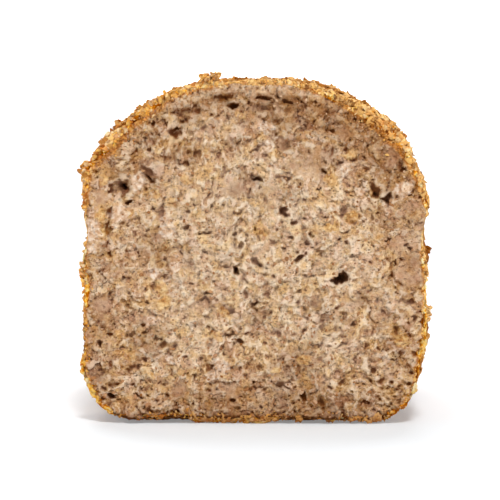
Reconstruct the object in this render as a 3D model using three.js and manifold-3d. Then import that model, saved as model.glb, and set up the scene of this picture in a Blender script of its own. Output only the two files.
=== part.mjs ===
// Half of an oat loaf baked in a tin, standing on its base with the cut face forward.
// Millimetres, +Z up. The origin is on the table under the middle of the loaf, the cut face
// looks along -Y and the heel is at +Y. The loaf is one solid: a slab of crumb and crust with a
// domed top, a tear along each side where the dough rose out of the tin, crags, oat flakes
// baked into the crust, and the larger pores open in the cut face.
import * as THREE from "three";
import { mergeVertices } from "three/addons/utils/BufferGeometryUtils.js";
import Module from "manifold-3d";

// ---- Driving dimensions ----
const WIDTH = 109; // across the straight sides
const HEIGHT = 109.5; // table to the top of the dome
const LENGTH = 120; // cut face to heel
const DOME_RISE = 40; // height of the dome over the straight sides
const DOME_POWER = 2.15; // 2 is an ellipse, more is squarer
const BASE_RADIUS = 17; // the long edges along the base
const TUCK = { in: 2, below: 34 }; // the right-hand side draws in towards the base
const HEEL_RADIUS = 18; // the edges round the heel
const HEEL_DROP = 9; // how far the dome falls towards the heel
const HEEL_DROP_LENGTH = 50; // over this length

const TEAR_HEIGHT = 61; // the tear, where the dough rose over the edge of the tin
const TEAR_WANDER = 2.5; // how far the tear strays up and down
const TEAR_SPREAD = 4.5; // half the height of the tear, and of the lip below and the roll above
const TEAR_DEPTH = 1.5;
const LIP = { below: 10, out: 0.9 };
const ROLL = { above: 11, out: 0.6 };
const CRUST_LUMP = { size: 17, height: 0.8 };
const CRUST_CRAG = { size: 9, height: 1.1 };
const CUT_RELIEF = { size: 9, height: 0.45 };
const KNIFE_GAP = 0.5; // flakes at the rim are trimmed this far in front of the cut

const CLUMP_RAGGED = 0.22; // how far a clump's corners stray, as a share of its size
const CLUMP_RAGGED_SIZE = 2.5;

const FLAKE_LENGTH = { least: 5.4, most: 8 };
const FLAKE_ASPECT = 0.72; // width over length
const FLAKE_THICKNESS = 1.7;
const FLAKE_SIDES = 6;
const FLAKE_TOP = 0.72; // size of the upper side of a flake, as a share of the lower
const FLAKE_LEAN = 0.4; // radians, the most that a flake leans out of the crust
const CRUST_FLAKES = 67;
const HEEL_FLAKES = 18;
const RIM_FLAKES = 26; // beside the cut, where they show in the outline
const FLAKE_FREE_BASE = 0.115; // share of the outline, each way from the middle of the base

const FACE_CELLS = 18; // mesh cells across the cut face and the heel
const LENGTH_CELLS = 19; // and from the cut to the heel

// Clumps of dough baked onto the rim: centre, size along x, y and z.
const CLUMPS = [
  { x: -13.6, y: -56, z: 108.6, size: [8.5, 7, 5] },
  { x: 8, y: -55, z: 107.9, size: [13, 8, 3.6] },
  { x: 55, y: -57, z: 35.5, size: [3.6, 7, 6] },
];

// The larger pores of the cut face: centre across and up, width, height, turn in degrees, depth.
const PORES = [
  { x: 27.7, z: 47.2, w: 5.4, h: 4.6, turn: 0, deep: 6 },
  { x: -5.9, z: 48.7, w: 3.4, h: 3.6, turn: 30, deep: 4 },
  { x: -14.5, z: 42, w: 2.6, h: 2.3, turn: 0, deep: 3 },
  { x: 1.2, z: 78.4, w: 4.8, h: 2.2, turn: 0, deep: 4 },
  { x: 9.5, z: 68.7, w: 4.4, h: 4.6, turn: 0, deep: 3.4 },
  { x: 14.8, z: 53.6, w: 6.6, h: 1.8, turn: 38, deep: 3.6 },
  { x: 2, z: 51.6, w: 5, h: 2, turn: -20, deep: 3 },
  { x: 4.5, z: 41.6, w: 3.4, h: 3.2, turn: 0, deep: 2 },
  { x: -4, z: 26, w: 3.4, h: 3, turn: 0, deep: 3.4 },
  { x: -42, z: 75.3, w: 8, h: 5.6, turn: 10, deep: 3.4 },
  { x: -34, z: 80.4, w: 6, h: 2.4, turn: -52, deep: 4 },
  { x: -25, z: 93.2, w: 4.6, h: 3, turn: 15, deep: 3.4 },
  { x: 37.7, z: 74.8, w: 5.8, h: 4.8, turn: -30, deep: 3.4 },
  { x: 43, z: 72.4, w: 3.8, h: 5, turn: -25, deep: 3.4 },
  { x: -6.7, z: 101.8, w: 6.6, h: 2, turn: 0, deep: 5 },
  { x: 4, z: 101.6, w: 7, h: 2.6, turn: -8, deep: 4 },
  { x: 10.5, z: 103.2, w: 5.6, h: 2, turn: -24, deep: 4.4 },
];

const CUT_Y = -LENGTH / 2;
const HEEL_Y = LENGTH / 2;
const SPRING_HEIGHT = HEIGHT - DOME_RISE; // where the dome starts
const MIDDLE = new THREE.Vector2(0, HEIGHT * 0.46); // of the section
const STRAIGHT_LENGTH = LENGTH - HEEL_RADIUS;
const CORE_END = HEEL_Y - 40; // the loaf's core line runs from the cut to here
const TINY = 1e-9;
const NORMAL_STEP = 0.04; // on the cube, whose faces are 2 across

// ---- Repeatable randomness ----
const fraction = (value) => value - Math.floor(value);
const mix = (a, b, share) => a + (b - a) * share;
const smooth = (t) => t * t * (3 - 2 * t);
const ramp = (value, from, to) => smooth(Math.min(1, Math.max(0, (value - from) / (to - from))));
const bell = (value, middle, spread) => Math.exp(-(((value - middle) / spread) ** 2));

// A number from 0 to 1 that depends on three whole numbers alone.
function scatter(i, j = 0, k = 0) {
  return fraction(Math.sin(i * 127.1 + j * 311.7 + k * 74.7) * 43758.5453);
}

// Smooth noise from -1 to 1, with lumps about `size` apart.
function noise(point, size) {
  const p = point.clone().divideScalar(size);
  const cell = p.clone().floor();
  const at = p.sub(cell);
  const across = smooth(at.x);
  const along = smooth(at.y);
  const up = smooth(at.z);
  const corner = (i, j, k) => scatter(cell.x + i, cell.y + j, cell.z + k);
  const layer = (k) =>
    mix(
      mix(corner(0, 0, k), corner(1, 0, k), across),
      mix(corner(0, 1, k), corner(1, 1, k), across),
      along,
    );
  return 2 * mix(layer(0), layer(1), up) - 1;
}

// ---- The smooth form ----
// The dome of the section, from the right-hand side over the top to the left.
class DomeCurve extends THREE.Curve {
  getPoint(t, target = new THREE.Vector2()) {
    const angle = t * Math.PI;
    const c = Math.cos(angle);
    const s = Math.sin(angle);
    const power = 2 / DOME_POWER;
    return target.set(
      (Math.sign(c) * Math.abs(c) ** power * WIDTH) / 2,
      SPRING_HEIGHT + s ** power * DOME_RISE,
    );
  }
}

// The section's outline in x and z, from the middle of the base, up the right-hand side.
function sectionOutline() {
  const side = WIDTH / 2;
  const corner = side - BASE_RADIUS;
  const outline = new THREE.Path();
  outline.moveTo(0, 0);
  outline.lineTo(corner, 0);
  outline.absarc(corner, BASE_RADIUS, BASE_RADIUS, -Math.PI / 2, 0, false);
  outline.lineTo(side, SPRING_HEIGHT);
  outline.add(new DomeCurve());
  outline.currentPoint.set(-side, SPRING_HEIGHT);
  outline.lineTo(-side, BASE_RADIUS);
  outline.absarc(-corner, BASE_RADIUS, BASE_RADIUS, Math.PI, 1.5 * Math.PI, false);
  outline.lineTo(0, 0);
  return outline;
}
const OUTLINE = sectionOutline();
OUTLINE.arcLengthDivisions = 400;

// How far the sides stand out at a height: a lip under the tear, a hollow in it, a roll above it.
function sideRelief(y, z) {
  const tear = TEAR_HEIGHT + TEAR_WANDER * noise(new THREE.Vector3(0.5, y, 0.5), 22);
  const lip = LIP.out * bell(z, tear - LIP.below, TEAR_SPREAD);
  const roll = ROLL.out * bell(z, tear + ROLL.above, TEAR_SPREAD);
  return lip + roll - TEAR_DEPTH * bell(z, tear, TEAR_SPREAD);
}

// How far along y the surface is when it has come in by `inset` from the section's outline.
function heelDepth(inset) {
  if (inset >= HEEL_RADIUS) return HEEL_Y;
  const left = HEEL_RADIUS - inset;
  return HEEL_Y - HEEL_RADIUS + Math.sqrt(HEEL_RADIUS ** 2 - left ** 2);
}

// The section's outline at a share of the way round, with its right-hand side drawn in.
function outlinePoint(share) {
  const edge = OUTLINE.getPointAt(fraction(share));
  if (edge.x > 0) edge.x -= (edge.x / (WIDTH / 2)) * TUCK.in * ramp(TUCK.below - edge.y, 0, TUCK.below);
  return edge;
}

// A point of the smooth loaf from a point (u, v, w) on the surface of a cube from -1 to 1,
// where w is 1 on the cut face and -1 on the heel.
function loafPoint(u, v, w) {
  const ring = Math.max(Math.abs(u), Math.abs(v), TINY);
  const edge = outlinePoint(squareShare(u / ring, v / ring));
  const reach = edge.distanceTo(MIDDLE);
  if (w >= 1 - TINY) {
    const at = MIDDLE.clone().lerp(edge, ring);
    return new THREE.Vector3(at.x, CUT_Y, at.y);
  }
  const halfArc = (HEEL_RADIUS * Math.PI) / 4;
  const insetAtHalf = HEEL_RADIUS * (1 - Math.SQRT1_2);
  let y;
  let inset;
  if (w > -1 + TINY) {
    const run = ((1 - w) / 2) * (STRAIGHT_LENGTH + halfArc);
    const turn = Math.max(0, run - STRAIGHT_LENGTH) / HEEL_RADIUS;
    y = CUT_Y + Math.min(run, STRAIGHT_LENGTH) + HEEL_RADIUS * Math.sin(turn);
    inset = HEEL_RADIUS * (1 - Math.cos(turn));
  } else {
    inset = mix(reach, insetAtHalf, ring);
    y = heelDepth(inset);
  }
  const at = edge.clone().lerp(MIDDLE, inset / reach);
  const drop = HEEL_DROP * ramp(y, HEEL_Y - HEEL_DROP_LENGTH, HEEL_Y);
  const lift = Math.max(0, at.y - SPRING_HEIGHT) / DOME_RISE;
  return new THREE.Vector3(at.x, y, at.y - drop * lift);
}

// The share of the way round a square, from the middle of its lower side, where (u, v) lies.
function squareShare(u, v) {
  if (v <= -1 + TINY) return u / 8;
  if (u >= 1 - TINY) return (2 + v) / 8;
  if (v >= 1 - TINY) return (4 - u) / 8;
  return (6 - v) / 8;
}

// The way out of the smooth loaf at a cube's point, from two short steps over the surface.
function loafNormal(u, v, w) {
  const inward = (value) => value - NORMAL_STEP * (value > 0 ? 1 : -1);
  const onHeel = w <= -1 + TINY;
  const onBaseOrTop = Math.abs(v) >= 1 - TINY;
  const here = loafPoint(u, v, w);
  const across = onHeel || onBaseOrTop ? loafPoint(inward(u), v, w) : loafPoint(u, inward(v), w);
  const along = onHeel ? loafPoint(u, inward(v), w) : loafPoint(u, v, inward(w));
  const normal = across.sub(here).cross(along.sub(here)).normalize();
  const core = new THREE.Vector3(MIDDLE.x, Math.min(here.y, CORE_END), MIDDLE.y);
  return normal.dot(here.sub(core)) < 0 ? normal.negate() : normal;
}

// ---- Crags ----
// The loaf's real surface: the smooth form with the tear, lumps and crags. The base stays flat.
function craggyPoint(u, v, w) {
  const point = loafPoint(u, v, w);
  const onCut = w >= 1 - TINY;
  const ring = Math.max(Math.abs(u), Math.abs(v));
  if (onCut && ring < 1 - TINY) {
    point.y += CUT_RELIEF.height * noise(point, CUT_RELIEF.size);
    return point;
  }
  const normal = loafNormal(u, v, w);
  if (onCut) normal.setY(0).normalize();
  const offBase = ramp(point.z, 0, 4);
  const upright = 1 - Math.abs(normal.z);
  const relief =
    CRUST_LUMP.height * noise(point, CRUST_LUMP.size) +
    CRUST_CRAG.height * noise(point, CRUST_CRAG.size) +
    sideRelief(point.y, point.z) * upright;
  return point.addScaledVector(normal, relief * offBase);
}

function loafGeometry() {
  const cube = new THREE.BoxGeometry(2, 2, 2, FACE_CELLS, FACE_CELLS, LENGTH_CELLS);
  const places = cube.getAttribute("position");
  for (let i = 0; i < places.count; i++) {
    const point = craggyPoint(places.getX(i), places.getY(i), places.getZ(i));
    places.setXYZ(i, point.x, point.y, point.z);
  }
  return cube;
}

// ---- Oat flakes and pores ----
// Moves each corner of an upright prism in or out, to break its even edge.
function makeRagged(prism, seed) {
  const corners = prism.getAttribute("position");
  for (let i = 0; i < corners.count; i++) {
    const side = Math.round((Math.atan2(corners.getX(i), corners.getZ(i)) * FLAKE_SIDES) / Math.PI);
    const grow = mix(0.8, 1.2, scatter(seed, 10, (side + 2 * FLAKE_SIDES) % (2 * FLAKE_SIDES)));
    corners.setXYZ(i, corners.getX(i) * grow, corners.getY(i), corners.getZ(i) * grow);
  }
}

// One flake lying on the crust at the cube's point (u, v, w). `seed` sets its size, turn and lean.
function flakeGeometry(u, v, w, seed) {
  const length = mix(FLAKE_LENGTH.least, FLAKE_LENGTH.most, scatter(seed, 1));
  const width = length * FLAKE_ASPECT * mix(0.85, 1.1, scatter(seed, 2));
  const flake = new THREE.CylinderGeometry(FLAKE_TOP / 2, 0.5, 1, FLAKE_SIDES, 1);
  makeRagged(flake, seed);
  flake.scale(length, FLAKE_THICKNESS, width);
  const lean = new THREE.Euler(
    FLAKE_LEAN * (2 * scatter(seed, 3) - 1),
    scatter(seed, 4) * 2 * Math.PI,
    FLAKE_LEAN * (2 * scatter(seed, 5) - 1),
    "XZY",
  );
  const normal = loafNormal(u, v, w);
  if (w >= 0.97) normal.setY(0).normalize();
  const turn = new THREE.Quaternion().setFromUnitVectors(new THREE.Vector3(0, 1, 0), normal);
  turn.multiply(new THREE.Quaternion().setFromEuler(lean));
  const place = craggyPoint(u, v, w);
  const one = new THREE.Vector3(1, 1, 1);
  return flake.applyMatrix4(new THREE.Matrix4().compose(place, turn, one));
}

// A point of a square's edge at a share of the way round it, from the middle of its lower side.
function squarePoint(share) {
  const s = fraction(share) * 8;
  if (s < 1) return [s, -1];
  if (s < 3) return [1, s - 2];
  if (s < 5) return [4 - s, 1];
  if (s < 7) return [-1, 6 - s];
  return [s - 8, -1];
}

// Spread evenly with the steps that fill a square most evenly, one number after another.
const spreadA = (i) => fraction(0.5 + i * 0.7548776662);
const spreadB = (i) => fraction(0.5 + i * 0.569840291);

function allFlakes() {
  const flakes = [];
  const round = (share) => squarePoint(mix(FLAKE_FREE_BASE, 1 - FLAKE_FREE_BASE, share));
  for (let i = 0; i < CRUST_FLAKES; i++)
    flakes.push(flakeGeometry(...round(spreadA(i)), mix(0.84, -0.98, spreadB(i)), i));
  for (let i = 0; i < HEEL_FLAKES; i++) {
    const u = mix(-0.85, 0.85, spreadA(i));
    const v = mix(-0.8, 0.85, spreadB(i));
    flakes.push(flakeGeometry(u, v, -1, 1000 + i));
  }
  for (let i = 0; i < RIM_FLAKES; i++) {
    const share = (i + 0.7 * scatter(2000 + i, 6)) / RIM_FLAKES;
    flakes.push(flakeGeometry(...round(share), 0.965, 2000 + i));
  }
  return flakes;
}

function clumpGeometry({ x, y, z, size }) {
  const clump = new THREE.IcosahedronGeometry(0.5, 1);
  clump.scale(...size);
  const corners = clump.getAttribute("position");
  for (let i = 0; i < corners.count; i++) {
    const corner = new THREE.Vector3().fromBufferAttribute(corners, i);
    corner.multiplyScalar(1 + CLUMP_RAGGED * noise(corner.clone().addScalar(x), CLUMP_RAGGED_SIZE));
    corners.setXYZ(i, corner.x, corner.y, corner.z);
  }
  return clump.translate(x, y, z);
}

function poreGeometry({ x, z, w, h, turn, deep }) {
  const pore = new THREE.IcosahedronGeometry(1, 1);
  pore.scale(w / 2, deep, h / 2);
  pore.rotateY(-THREE.MathUtils.degToRad(turn));
  return pore.translate(x, CUT_Y, z);
}

// ---- Joining and cutting ----
const wasm = await Module();
wasm.setup();

function solidOf(geometry) {
  const bare = geometry.clone();
  bare.deleteAttribute("normal");
  bare.deleteAttribute("uv");
  const merged = mergeVertices(bare, 1e-4);
  const mesh = new wasm.Mesh({
    numProp: 3,
    vertProperties: merged.getAttribute("position").array,
    triVerts: new Uint32Array(merged.index.array),
  });
  return new wasm.Manifold(mesh);
}

function geometryOf(solid) {
  const mesh = solid.getMesh();
  const geometry = new THREE.BufferGeometry();
  geometry.setAttribute("position", new THREE.BufferAttribute(mesh.vertProperties, 3));
  geometry.setIndex(new THREE.BufferAttribute(mesh.triVerts, 1));
  geometry.computeVertexNormals();
  return geometry;
}

// The largest of the bodies in a solid, without loose scraps.
const mainBody = (solid) => solid.decompose().sort((a, b) => b.volume() - a.volume())[0];

let loaf = solidOf(loafGeometry());
for (const flake of allFlakes()) loaf = loaf.add(solidOf(flake));
for (const clump of CLUMPS) loaf = loaf.add(solidOf(clumpGeometry(clump)));
const trimmer = new THREE.BoxGeometry(3 * WIDTH, LENGTH, 3 * HEIGHT);
loaf = loaf.subtract(solidOf(trimmer.translate(0, CUT_Y - KNIFE_GAP - LENGTH / 2, 0)));
for (const pore of PORES) loaf = loaf.subtract(solidOf(poreGeometry(pore)));
const underTable = new THREE.BoxGeometry(3 * WIDTH, 3 * LENGTH, HEIGHT);
loaf = mainBody(loaf.subtract(solidOf(underTable.translate(0, 0, -HEIGHT / 2))));

// ---- The scene graph ----
const bread = new THREE.MeshStandardMaterial({ color: 0xbc9674, roughness: 0.9, metalness: 0 });
const mesh = new THREE.Mesh(geometryOf(loaf), bread);
mesh.name = "loaf";

const group = new THREE.Group();
group.add(mesh);
export default group;
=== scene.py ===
"""Looks of half an oat loaf: crumb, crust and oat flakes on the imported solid.

Lengths are in millimetres while the shapes are worked out, and become metres in make_mesh.
"""
import math

import bpy
import numpy as np
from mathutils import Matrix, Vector


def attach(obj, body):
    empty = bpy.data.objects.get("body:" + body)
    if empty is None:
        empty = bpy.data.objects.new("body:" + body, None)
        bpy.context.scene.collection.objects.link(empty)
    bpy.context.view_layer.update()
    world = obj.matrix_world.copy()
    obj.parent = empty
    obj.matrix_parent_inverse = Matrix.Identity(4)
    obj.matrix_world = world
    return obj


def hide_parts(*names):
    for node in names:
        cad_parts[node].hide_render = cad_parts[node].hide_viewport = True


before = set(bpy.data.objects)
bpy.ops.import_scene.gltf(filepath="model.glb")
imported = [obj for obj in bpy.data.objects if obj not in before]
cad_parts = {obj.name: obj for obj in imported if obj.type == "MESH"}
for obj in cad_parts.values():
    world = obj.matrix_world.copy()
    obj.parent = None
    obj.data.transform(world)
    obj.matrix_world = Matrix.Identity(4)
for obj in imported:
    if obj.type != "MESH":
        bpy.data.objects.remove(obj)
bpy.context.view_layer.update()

MM = 0.001
TAU = 2 * math.pi
TINY = 1e-9

# ---- The loaf's form, as in the solid ----
WIDTH = 109
HEIGHT = 109.5
LENGTH = 120
DOME_RISE = 40
DOME_POWER = 2.15
BASE_RADIUS = 17
TUCK_IN = 2
TUCK_BELOW = 34
HEEL_RADIUS = 18
HEEL_DROP = 9
HEEL_DROP_LENGTH = 50
TEAR_HEIGHT = 61
TEAR_WANDER, TEAR_WANDER_SIZE = 2.5, 22
TEAR_SPREAD = 4.5
TEAR_DEPTH = 1.5
LIP_BELOW, LIP_OUT = 10, 0.9
ROLL_ABOVE, ROLL_OUT = 11, 0.6
LUMP_SIZE, LUMP_HEIGHT = 17, 0.8
CRAG_SIZE, CRAG_HEIGHT = 9, 1.1
SMOOTH_BELOW = 4  # the relief fades out below this height

CUT_Y = -LENGTH / 2
HEEL_Y = LENGTH / 2
SPRING_HEIGHT = HEIGHT - DOME_RISE
MIDDLE = np.array([0, HEIGHT * 0.46])
STRAIGHT_LENGTH = LENGTH - HEEL_RADIUS
HALF_ARC = HEEL_RADIUS * math.pi / 4
INSET_AT_HALF = HEEL_RADIUS * (1 - math.sqrt(0.5))

# ---- The finer make-up of the visual model ----
FACE_CELLS = 304  # across the cut face
CRUMB_DEPTH = 8  # the crumb is a plug this deep, set into the crust
FACE_SPAN = 112  # the cut face's width in the bake map
CRUST_SPAN = 120  # the width of the crust's front in the bake map
COLLAR_CELLS = 272  # along each quarter of the outline, in the crust's fine edge
COLLAR_STEP = 0.36
COLLAR_ROWS = 27
SLOPE_ROWS = 14
RIM_SLOPE = 2.2  # the crust's edge slopes over this length from the crumb to the side
SLOPE_START = 0.15  # and starts this far behind the cut
RING_CELLS = 124  # along each quarter of the outline, in the rest of the crust
SIDE_ROWS = 134
CRUST_START = 6.5  # the rest of the crust begins this far behind the cut, under the fine edge
COLLAR_BACK_INSET = 3.2  # the fine edge's inner side, at its far end
COLLAR_FRONT_INSET, COLLAR_FRONT_DEPTH = 1.0, 1.3  # and behind the crumb's rim
CRUST_FRONT_INSET, CRUST_FRONT_DEPTH = 4.5, 0.5  # the closed front of the rest of the crust
FIRST_SHARE = -0.125  # rings start at the outline's low left
SHARE_STEP = 0.0005  # of the outline, for slopes and searches
QUAD_I, QUAD_J = np.array([0, 1, 1, 0]), np.array([1, 1, 0, 0])  # corners of a grid's cell

OAT_FLAKES = 1500
CRUST_CRUMBS = 2600
RIM_CRUMBS = 2000
LOW_CRUMBS = 260  # along the lower edge of the cut
KNIFE_CRUMBS = 1500  # on the cut, close inside the rim
CUT_GRAINS = 3600  # over the rest of the cut
SMALL_PORES = 560
LOW_PORES = 170  # of them, close to the base
FLAKE_SIDES = 8
FLAKE_ASPECT = 0.7
FLAKE_THICKNESS = 0.4
FLAKE_LIFT = 0.1  # of its thickness
FLAKE_LEAN, LUMP_LEAN = 0.24, 0.9
SIZE_SEED = 77

# ---- Repeatable randomness ----
def scatter(i, j=0, k=0):
    """A number from 0 to 1 for each set of whole numbers."""
    value = np.sin(np.asarray(i) * 127.1 + np.asarray(j) * 311.7 + np.asarray(k) * 74.7)
    return (value * 43758.5453) % 1.0


def smooth(t):
    return t * t * (3 - 2 * t)


def ramp(value, low, high):
    return smooth(np.clip((value - low) / (high - low), 0, 1))


def bell(value, middle, spread):
    return np.exp(-(((value - middle) / spread) ** 2))


def noise(points, size):
    """Smooth noise from -1 to 1 with lumps about `size` apart."""
    p = np.asarray(points) / size
    cell = np.floor(p)
    at = smooth(p - cell)
    total = np.zeros(p.shape[:-1])
    for i in (0, 1):
        for j in (0, 1):
            for k in (0, 1):
                weight = np.ones(p.shape[:-1])
                for axis, step in enumerate((i, j, k)):
                    weight = weight * (at[..., axis] if step else 1 - at[..., axis])
                corner = scatter(cell[..., 0] + i, cell[..., 1] + j, cell[..., 2] + k)
                total += weight * corner
    return 2 * total - 1


def drift(points, size):
    """Three noises, to push points about by."""
    return np.stack([noise(points + shift, size) for shift in (7.3, 31.7, 53.1)], -1)


def creased(points, size):
    """Rounded lumps parted by creases: below 0 on the lumps and up to 1 in the creases."""
    return 1 - 3.2 * np.abs(noise(points, size))


def cells(points, size):
    """Scattered cores: how far the nearest is, how much farther the next, its number and offset."""
    p = np.asarray(points) / size
    base = np.floor(p)
    first = np.full(p.shape[:-1], 9.0)
    second = np.full(p.shape[:-1], 9.0)
    number = np.zeros(p.shape[:-1])
    offset = np.zeros(p.shape)
    seed = round(size * 10)
    dims = p.shape[-1]
    for flat in range(3**dims):
        step = np.array([(flat // 3**axis) % 3 - 1 for axis in range(dims)])
        cell = base + step
        ids = cell[..., 0] * 157 + cell[..., 1] * 1013 + (cell[..., 2] * 7919 if dims == 3 else 0)
        core = np.stack([cell[..., axis] + scatter(ids, seed, axis + 1) for axis in range(dims)], -1)
        away = p - core
        distance = np.linalg.norm(away, axis=-1)
        nearer = distance < first
        second = np.where(nearer, first, np.minimum(second, distance))
        number = np.where(nearer, ids, number)
        offset = np.where(nearer[..., None], away, offset)
        first = np.minimum(first, distance)
    near = first * size
    return {"near": near, "gap": second * size - near, "number": number, "away": offset * size}


# ---- The smooth loaf ----
def trace_outline():
    """The section's outline in x and z, from the middle of the base up the right-hand side."""
    side = WIDTH / 2
    corner = side - BASE_RADIUS
    turn = np.linspace(-math.pi / 2, 0, 200)
    angle = np.linspace(0, math.pi, 4001)
    power = 2 / DOME_POWER
    dome_x = np.sign(np.cos(angle)) * np.abs(np.cos(angle)) ** power * side
    dome_z = SPRING_HEIGHT + np.clip(np.sin(angle), 0, 1) ** power * DOME_RISE
    right = np.column_stack([corner + BASE_RADIUS * np.cos(turn), BASE_RADIUS * (1 + np.sin(turn))])
    left = right[::-1] * [-1, 1]
    points = np.vstack([[0, 0], right, np.column_stack([dome_x, dome_z]), left, [0, 0]])
    steps = np.linalg.norm(np.diff(points, axis=0), axis=1)
    return points, np.concatenate([[0], np.cumsum(steps)])


OUTLINE, OUTLINE_RUN = trace_outline()
PERIMETER = OUTLINE_RUN[-1]


def outline_points(share):
    run = (np.asarray(share) % 1.0) * PERIMETER
    x = np.interp(run, OUTLINE_RUN, OUTLINE[:, 0])
    z = np.interp(run, OUTLINE_RUN, OUTLINE[:, 1])
    tuck = TUCK_IN * ramp(TUCK_BELOW - z, 0, TUCK_BELOW)
    x = np.where(x > 0, x - x / (WIDTH / 2) * tuck, x)
    return np.stack([x, z], -1)


def square_ring(u, v):
    """How far out a point of a square is, and its share of the way round from the low side."""
    ring = np.maximum(np.maximum(np.abs(u), np.abs(v)), TINY)
    u, v = u / ring, v / ring
    on_side = [v <= TINY - 1, u >= 1 - TINY, v >= 1 - TINY]
    return ring, np.select(on_side, [u / 8, (2 + v) / 8, (4 - u) / 8], (6 - v) / 8)


def moved_in(edge, inset):
    """Points of the section, moved towards its middle."""
    reach = np.linalg.norm(edge - MIDDLE, axis=-1)
    return edge + (MIDDLE - edge) * (inset / reach)[..., None]


def drawn_in(edge, inset, y):
    """The same in space, with the dome lower towards the heel."""
    at = moved_in(edge, inset)
    drop = HEEL_DROP * ramp(y, HEEL_Y - HEEL_DROP_LENGTH, HEEL_Y)
    lift = np.clip(at[..., 1] - SPRING_HEIGHT, 0, None) / DOME_RISE
    return np.stack([at[..., 0], y, at[..., 1] - drop * lift], -1)


def placed(section, y):
    """Points in space from points of the section and their distances along the loaf."""
    return np.stack([section[..., 0], np.broadcast_to(y, section.shape[:-1]), section[..., 1]], -1)


def side_points(share, run):
    """Points of the smooth loaf at a share of the outline and a run along it from the cut."""
    run = np.broadcast_to(run, np.shape(share))
    turn = np.clip(run - STRAIGHT_LENGTH, 0, None) / HEEL_RADIUS
    y = CUT_Y + np.minimum(run, STRAIGHT_LENGTH) + HEEL_RADIUS * np.sin(turn)
    return drawn_in(outline_points(share), HEEL_RADIUS * (1 - np.cos(turn)), y)


def heel_points(u, v):
    """Points of the smooth heel, from a square whose border is half-way round its edge."""
    ring, share = square_ring(u, v)
    edge = outline_points(share)
    reach = np.linalg.norm(edge - MIDDLE, axis=-1)
    inset = reach + (INSET_AT_HALF - reach) * ring
    left = np.clip(HEEL_RADIUS - inset, 0, None)
    return drawn_in(edge, inset, HEEL_Y - HEEL_RADIUS + np.sqrt(HEEL_RADIUS**2 - left**2))


# ---- Relief of the crust ----
def tear_height(y):
    along = np.stack([np.full_like(y, 0.5), y, np.full_like(y, 0.5)], -1)
    return TEAR_HEIGHT + TEAR_WANDER * noise(along, TEAR_WANDER_SIZE)


def tear_share(points):
    """How far a point is inside the tear, where pale crumb shows, from 0 to 1."""
    ragged = 2.6 * noise(points, 4.5) + 1.5 * noise(points, 1.8)
    inside = bell(points[..., 2] + ragged, tear_height(points[..., 1]) + 0.5, 3.6)
    return inside * ramp(noise(points, 11), -0.5, 0.2)


def grid_normals(points, closed):
    """Outward unit normals of a grid of points; `closed` says whether its first axis joins up."""
    if closed:
        across = np.roll(points, -1, 0) - np.roll(points, 1, 0)
    else:
        across = np.gradient(points, axis=0)
    normal = np.cross(np.gradient(points, axis=1), across)
    return normal / np.maximum(np.linalg.norm(normal, axis=-1, keepdims=True), 1e-12)


def coarse_relief(points, normals):
    """The solid's own relief: lumps, crags and the tear, with a lip under it and a roll over it."""
    z = points[..., 2]
    tear = tear_height(points[..., 1])
    lip = LIP_OUT * bell(z, tear - LIP_BELOW, TEAR_SPREAD)
    roll = ROLL_OUT * bell(z, tear + ROLL_ABOVE, TEAR_SPREAD)
    sides = lip + roll - TEAR_DEPTH * bell(z, tear, TEAR_SPREAD)
    relief = LUMP_HEIGHT * noise(points, LUMP_SIZE) + CRAG_HEIGHT * noise(points, CRAG_SIZE)
    relief += sides * (1 - np.abs(normals[..., 2]))
    return relief * ramp(z, 0, SMOOTH_BELOW)


def crusted(points, closed):
    """A grid of the smooth loaf's points with the solid's relief."""
    normals = grid_normals(points, closed)
    return points + normals * coarse_relief(points, normals)[..., None]


def fine_relief(points):
    """Plates, creases and pits finer than the solid's triangles, and each place's tone."""
    torn = points + 0.9 * drift(points, 2.6) + 0.45 * drift(points, 1.2)
    out = 0.25 * noise(points, 6)
    tone = np.zeros(points.shape[:-1])
    for size, step, gap, width in ((4.2, 0.9, 0.5, 0.5), (1.9, 0.55, 0.2, 0.3)):
        plate = cells(torn, size)
        out += step * (scatter(plate["number"], 5) - 0.5) - gap * bell(plate["gap"], 0, width)
        tone += 0.5 * scatter(plate["number"], 3)
    for size, height in ((2.8, 0.24), (1.4, 0.16), (0.8, 0.06)):
        out -= height * creased(torn + 60 * size, size)
    for size, deep in ((2.6, 0.8), (1.5, 0.6)):
        out -= deep * ramp(noise(torn + 30 * size, size), 0.35, 0.9)
    # The sides are smoother where they baked against the tin.
    free = np.maximum(0.6 * bell(points[..., 1], CUT_Y, 9), ramp(points[..., 2], 56, 74))
    return (out + 0.15) * (0.4 + 0.6 * free), tone


# ---- Meshes ----
def make_mesh(name, points, faces, attributes=None, uv=None):
    """A Blender object from points in millimetres and faces of three or four corners."""
    mesh = bpy.data.meshes.new(name)
    corners = np.concatenate([np.asarray(f).ravel() for f in faces])
    sizes = np.concatenate([np.full(len(f), np.asarray(f).shape[1]) for f in faces])
    starts = np.concatenate([[0], np.cumsum(sizes)[:-1]])
    mesh.vertices.add(len(points))
    mesh.vertices.foreach_set("co", (np.asarray(points) * MM).ravel())
    mesh.loops.add(len(corners))
    mesh.loops.foreach_set("vertex_index", corners.astype(np.int32))
    mesh.polygons.add(len(sizes))
    mesh.polygons.foreach_set("loop_start", starts.astype(np.int32))
    mesh.polygons.foreach_set("loop_total", sizes.astype(np.int32))
    for key, values in (attributes or {}).items():
        layer = mesh.attributes.new(key, "FLOAT", "POINT")
        layer.data.foreach_set("value", np.asarray(values, dtype=np.float32))
    if uv is not None:
        layer = mesh.uv_layers.new(name="OFBake")
        layer.data.foreach_set("uv", np.asarray(uv, dtype=np.float32).ravel())
    mesh.update(calc_edges=True)
    mesh.validate()
    piece = bpy.data.objects.new(name, mesh)
    bpy.context.scene.collection.objects.link(piece)
    return piece


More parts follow.
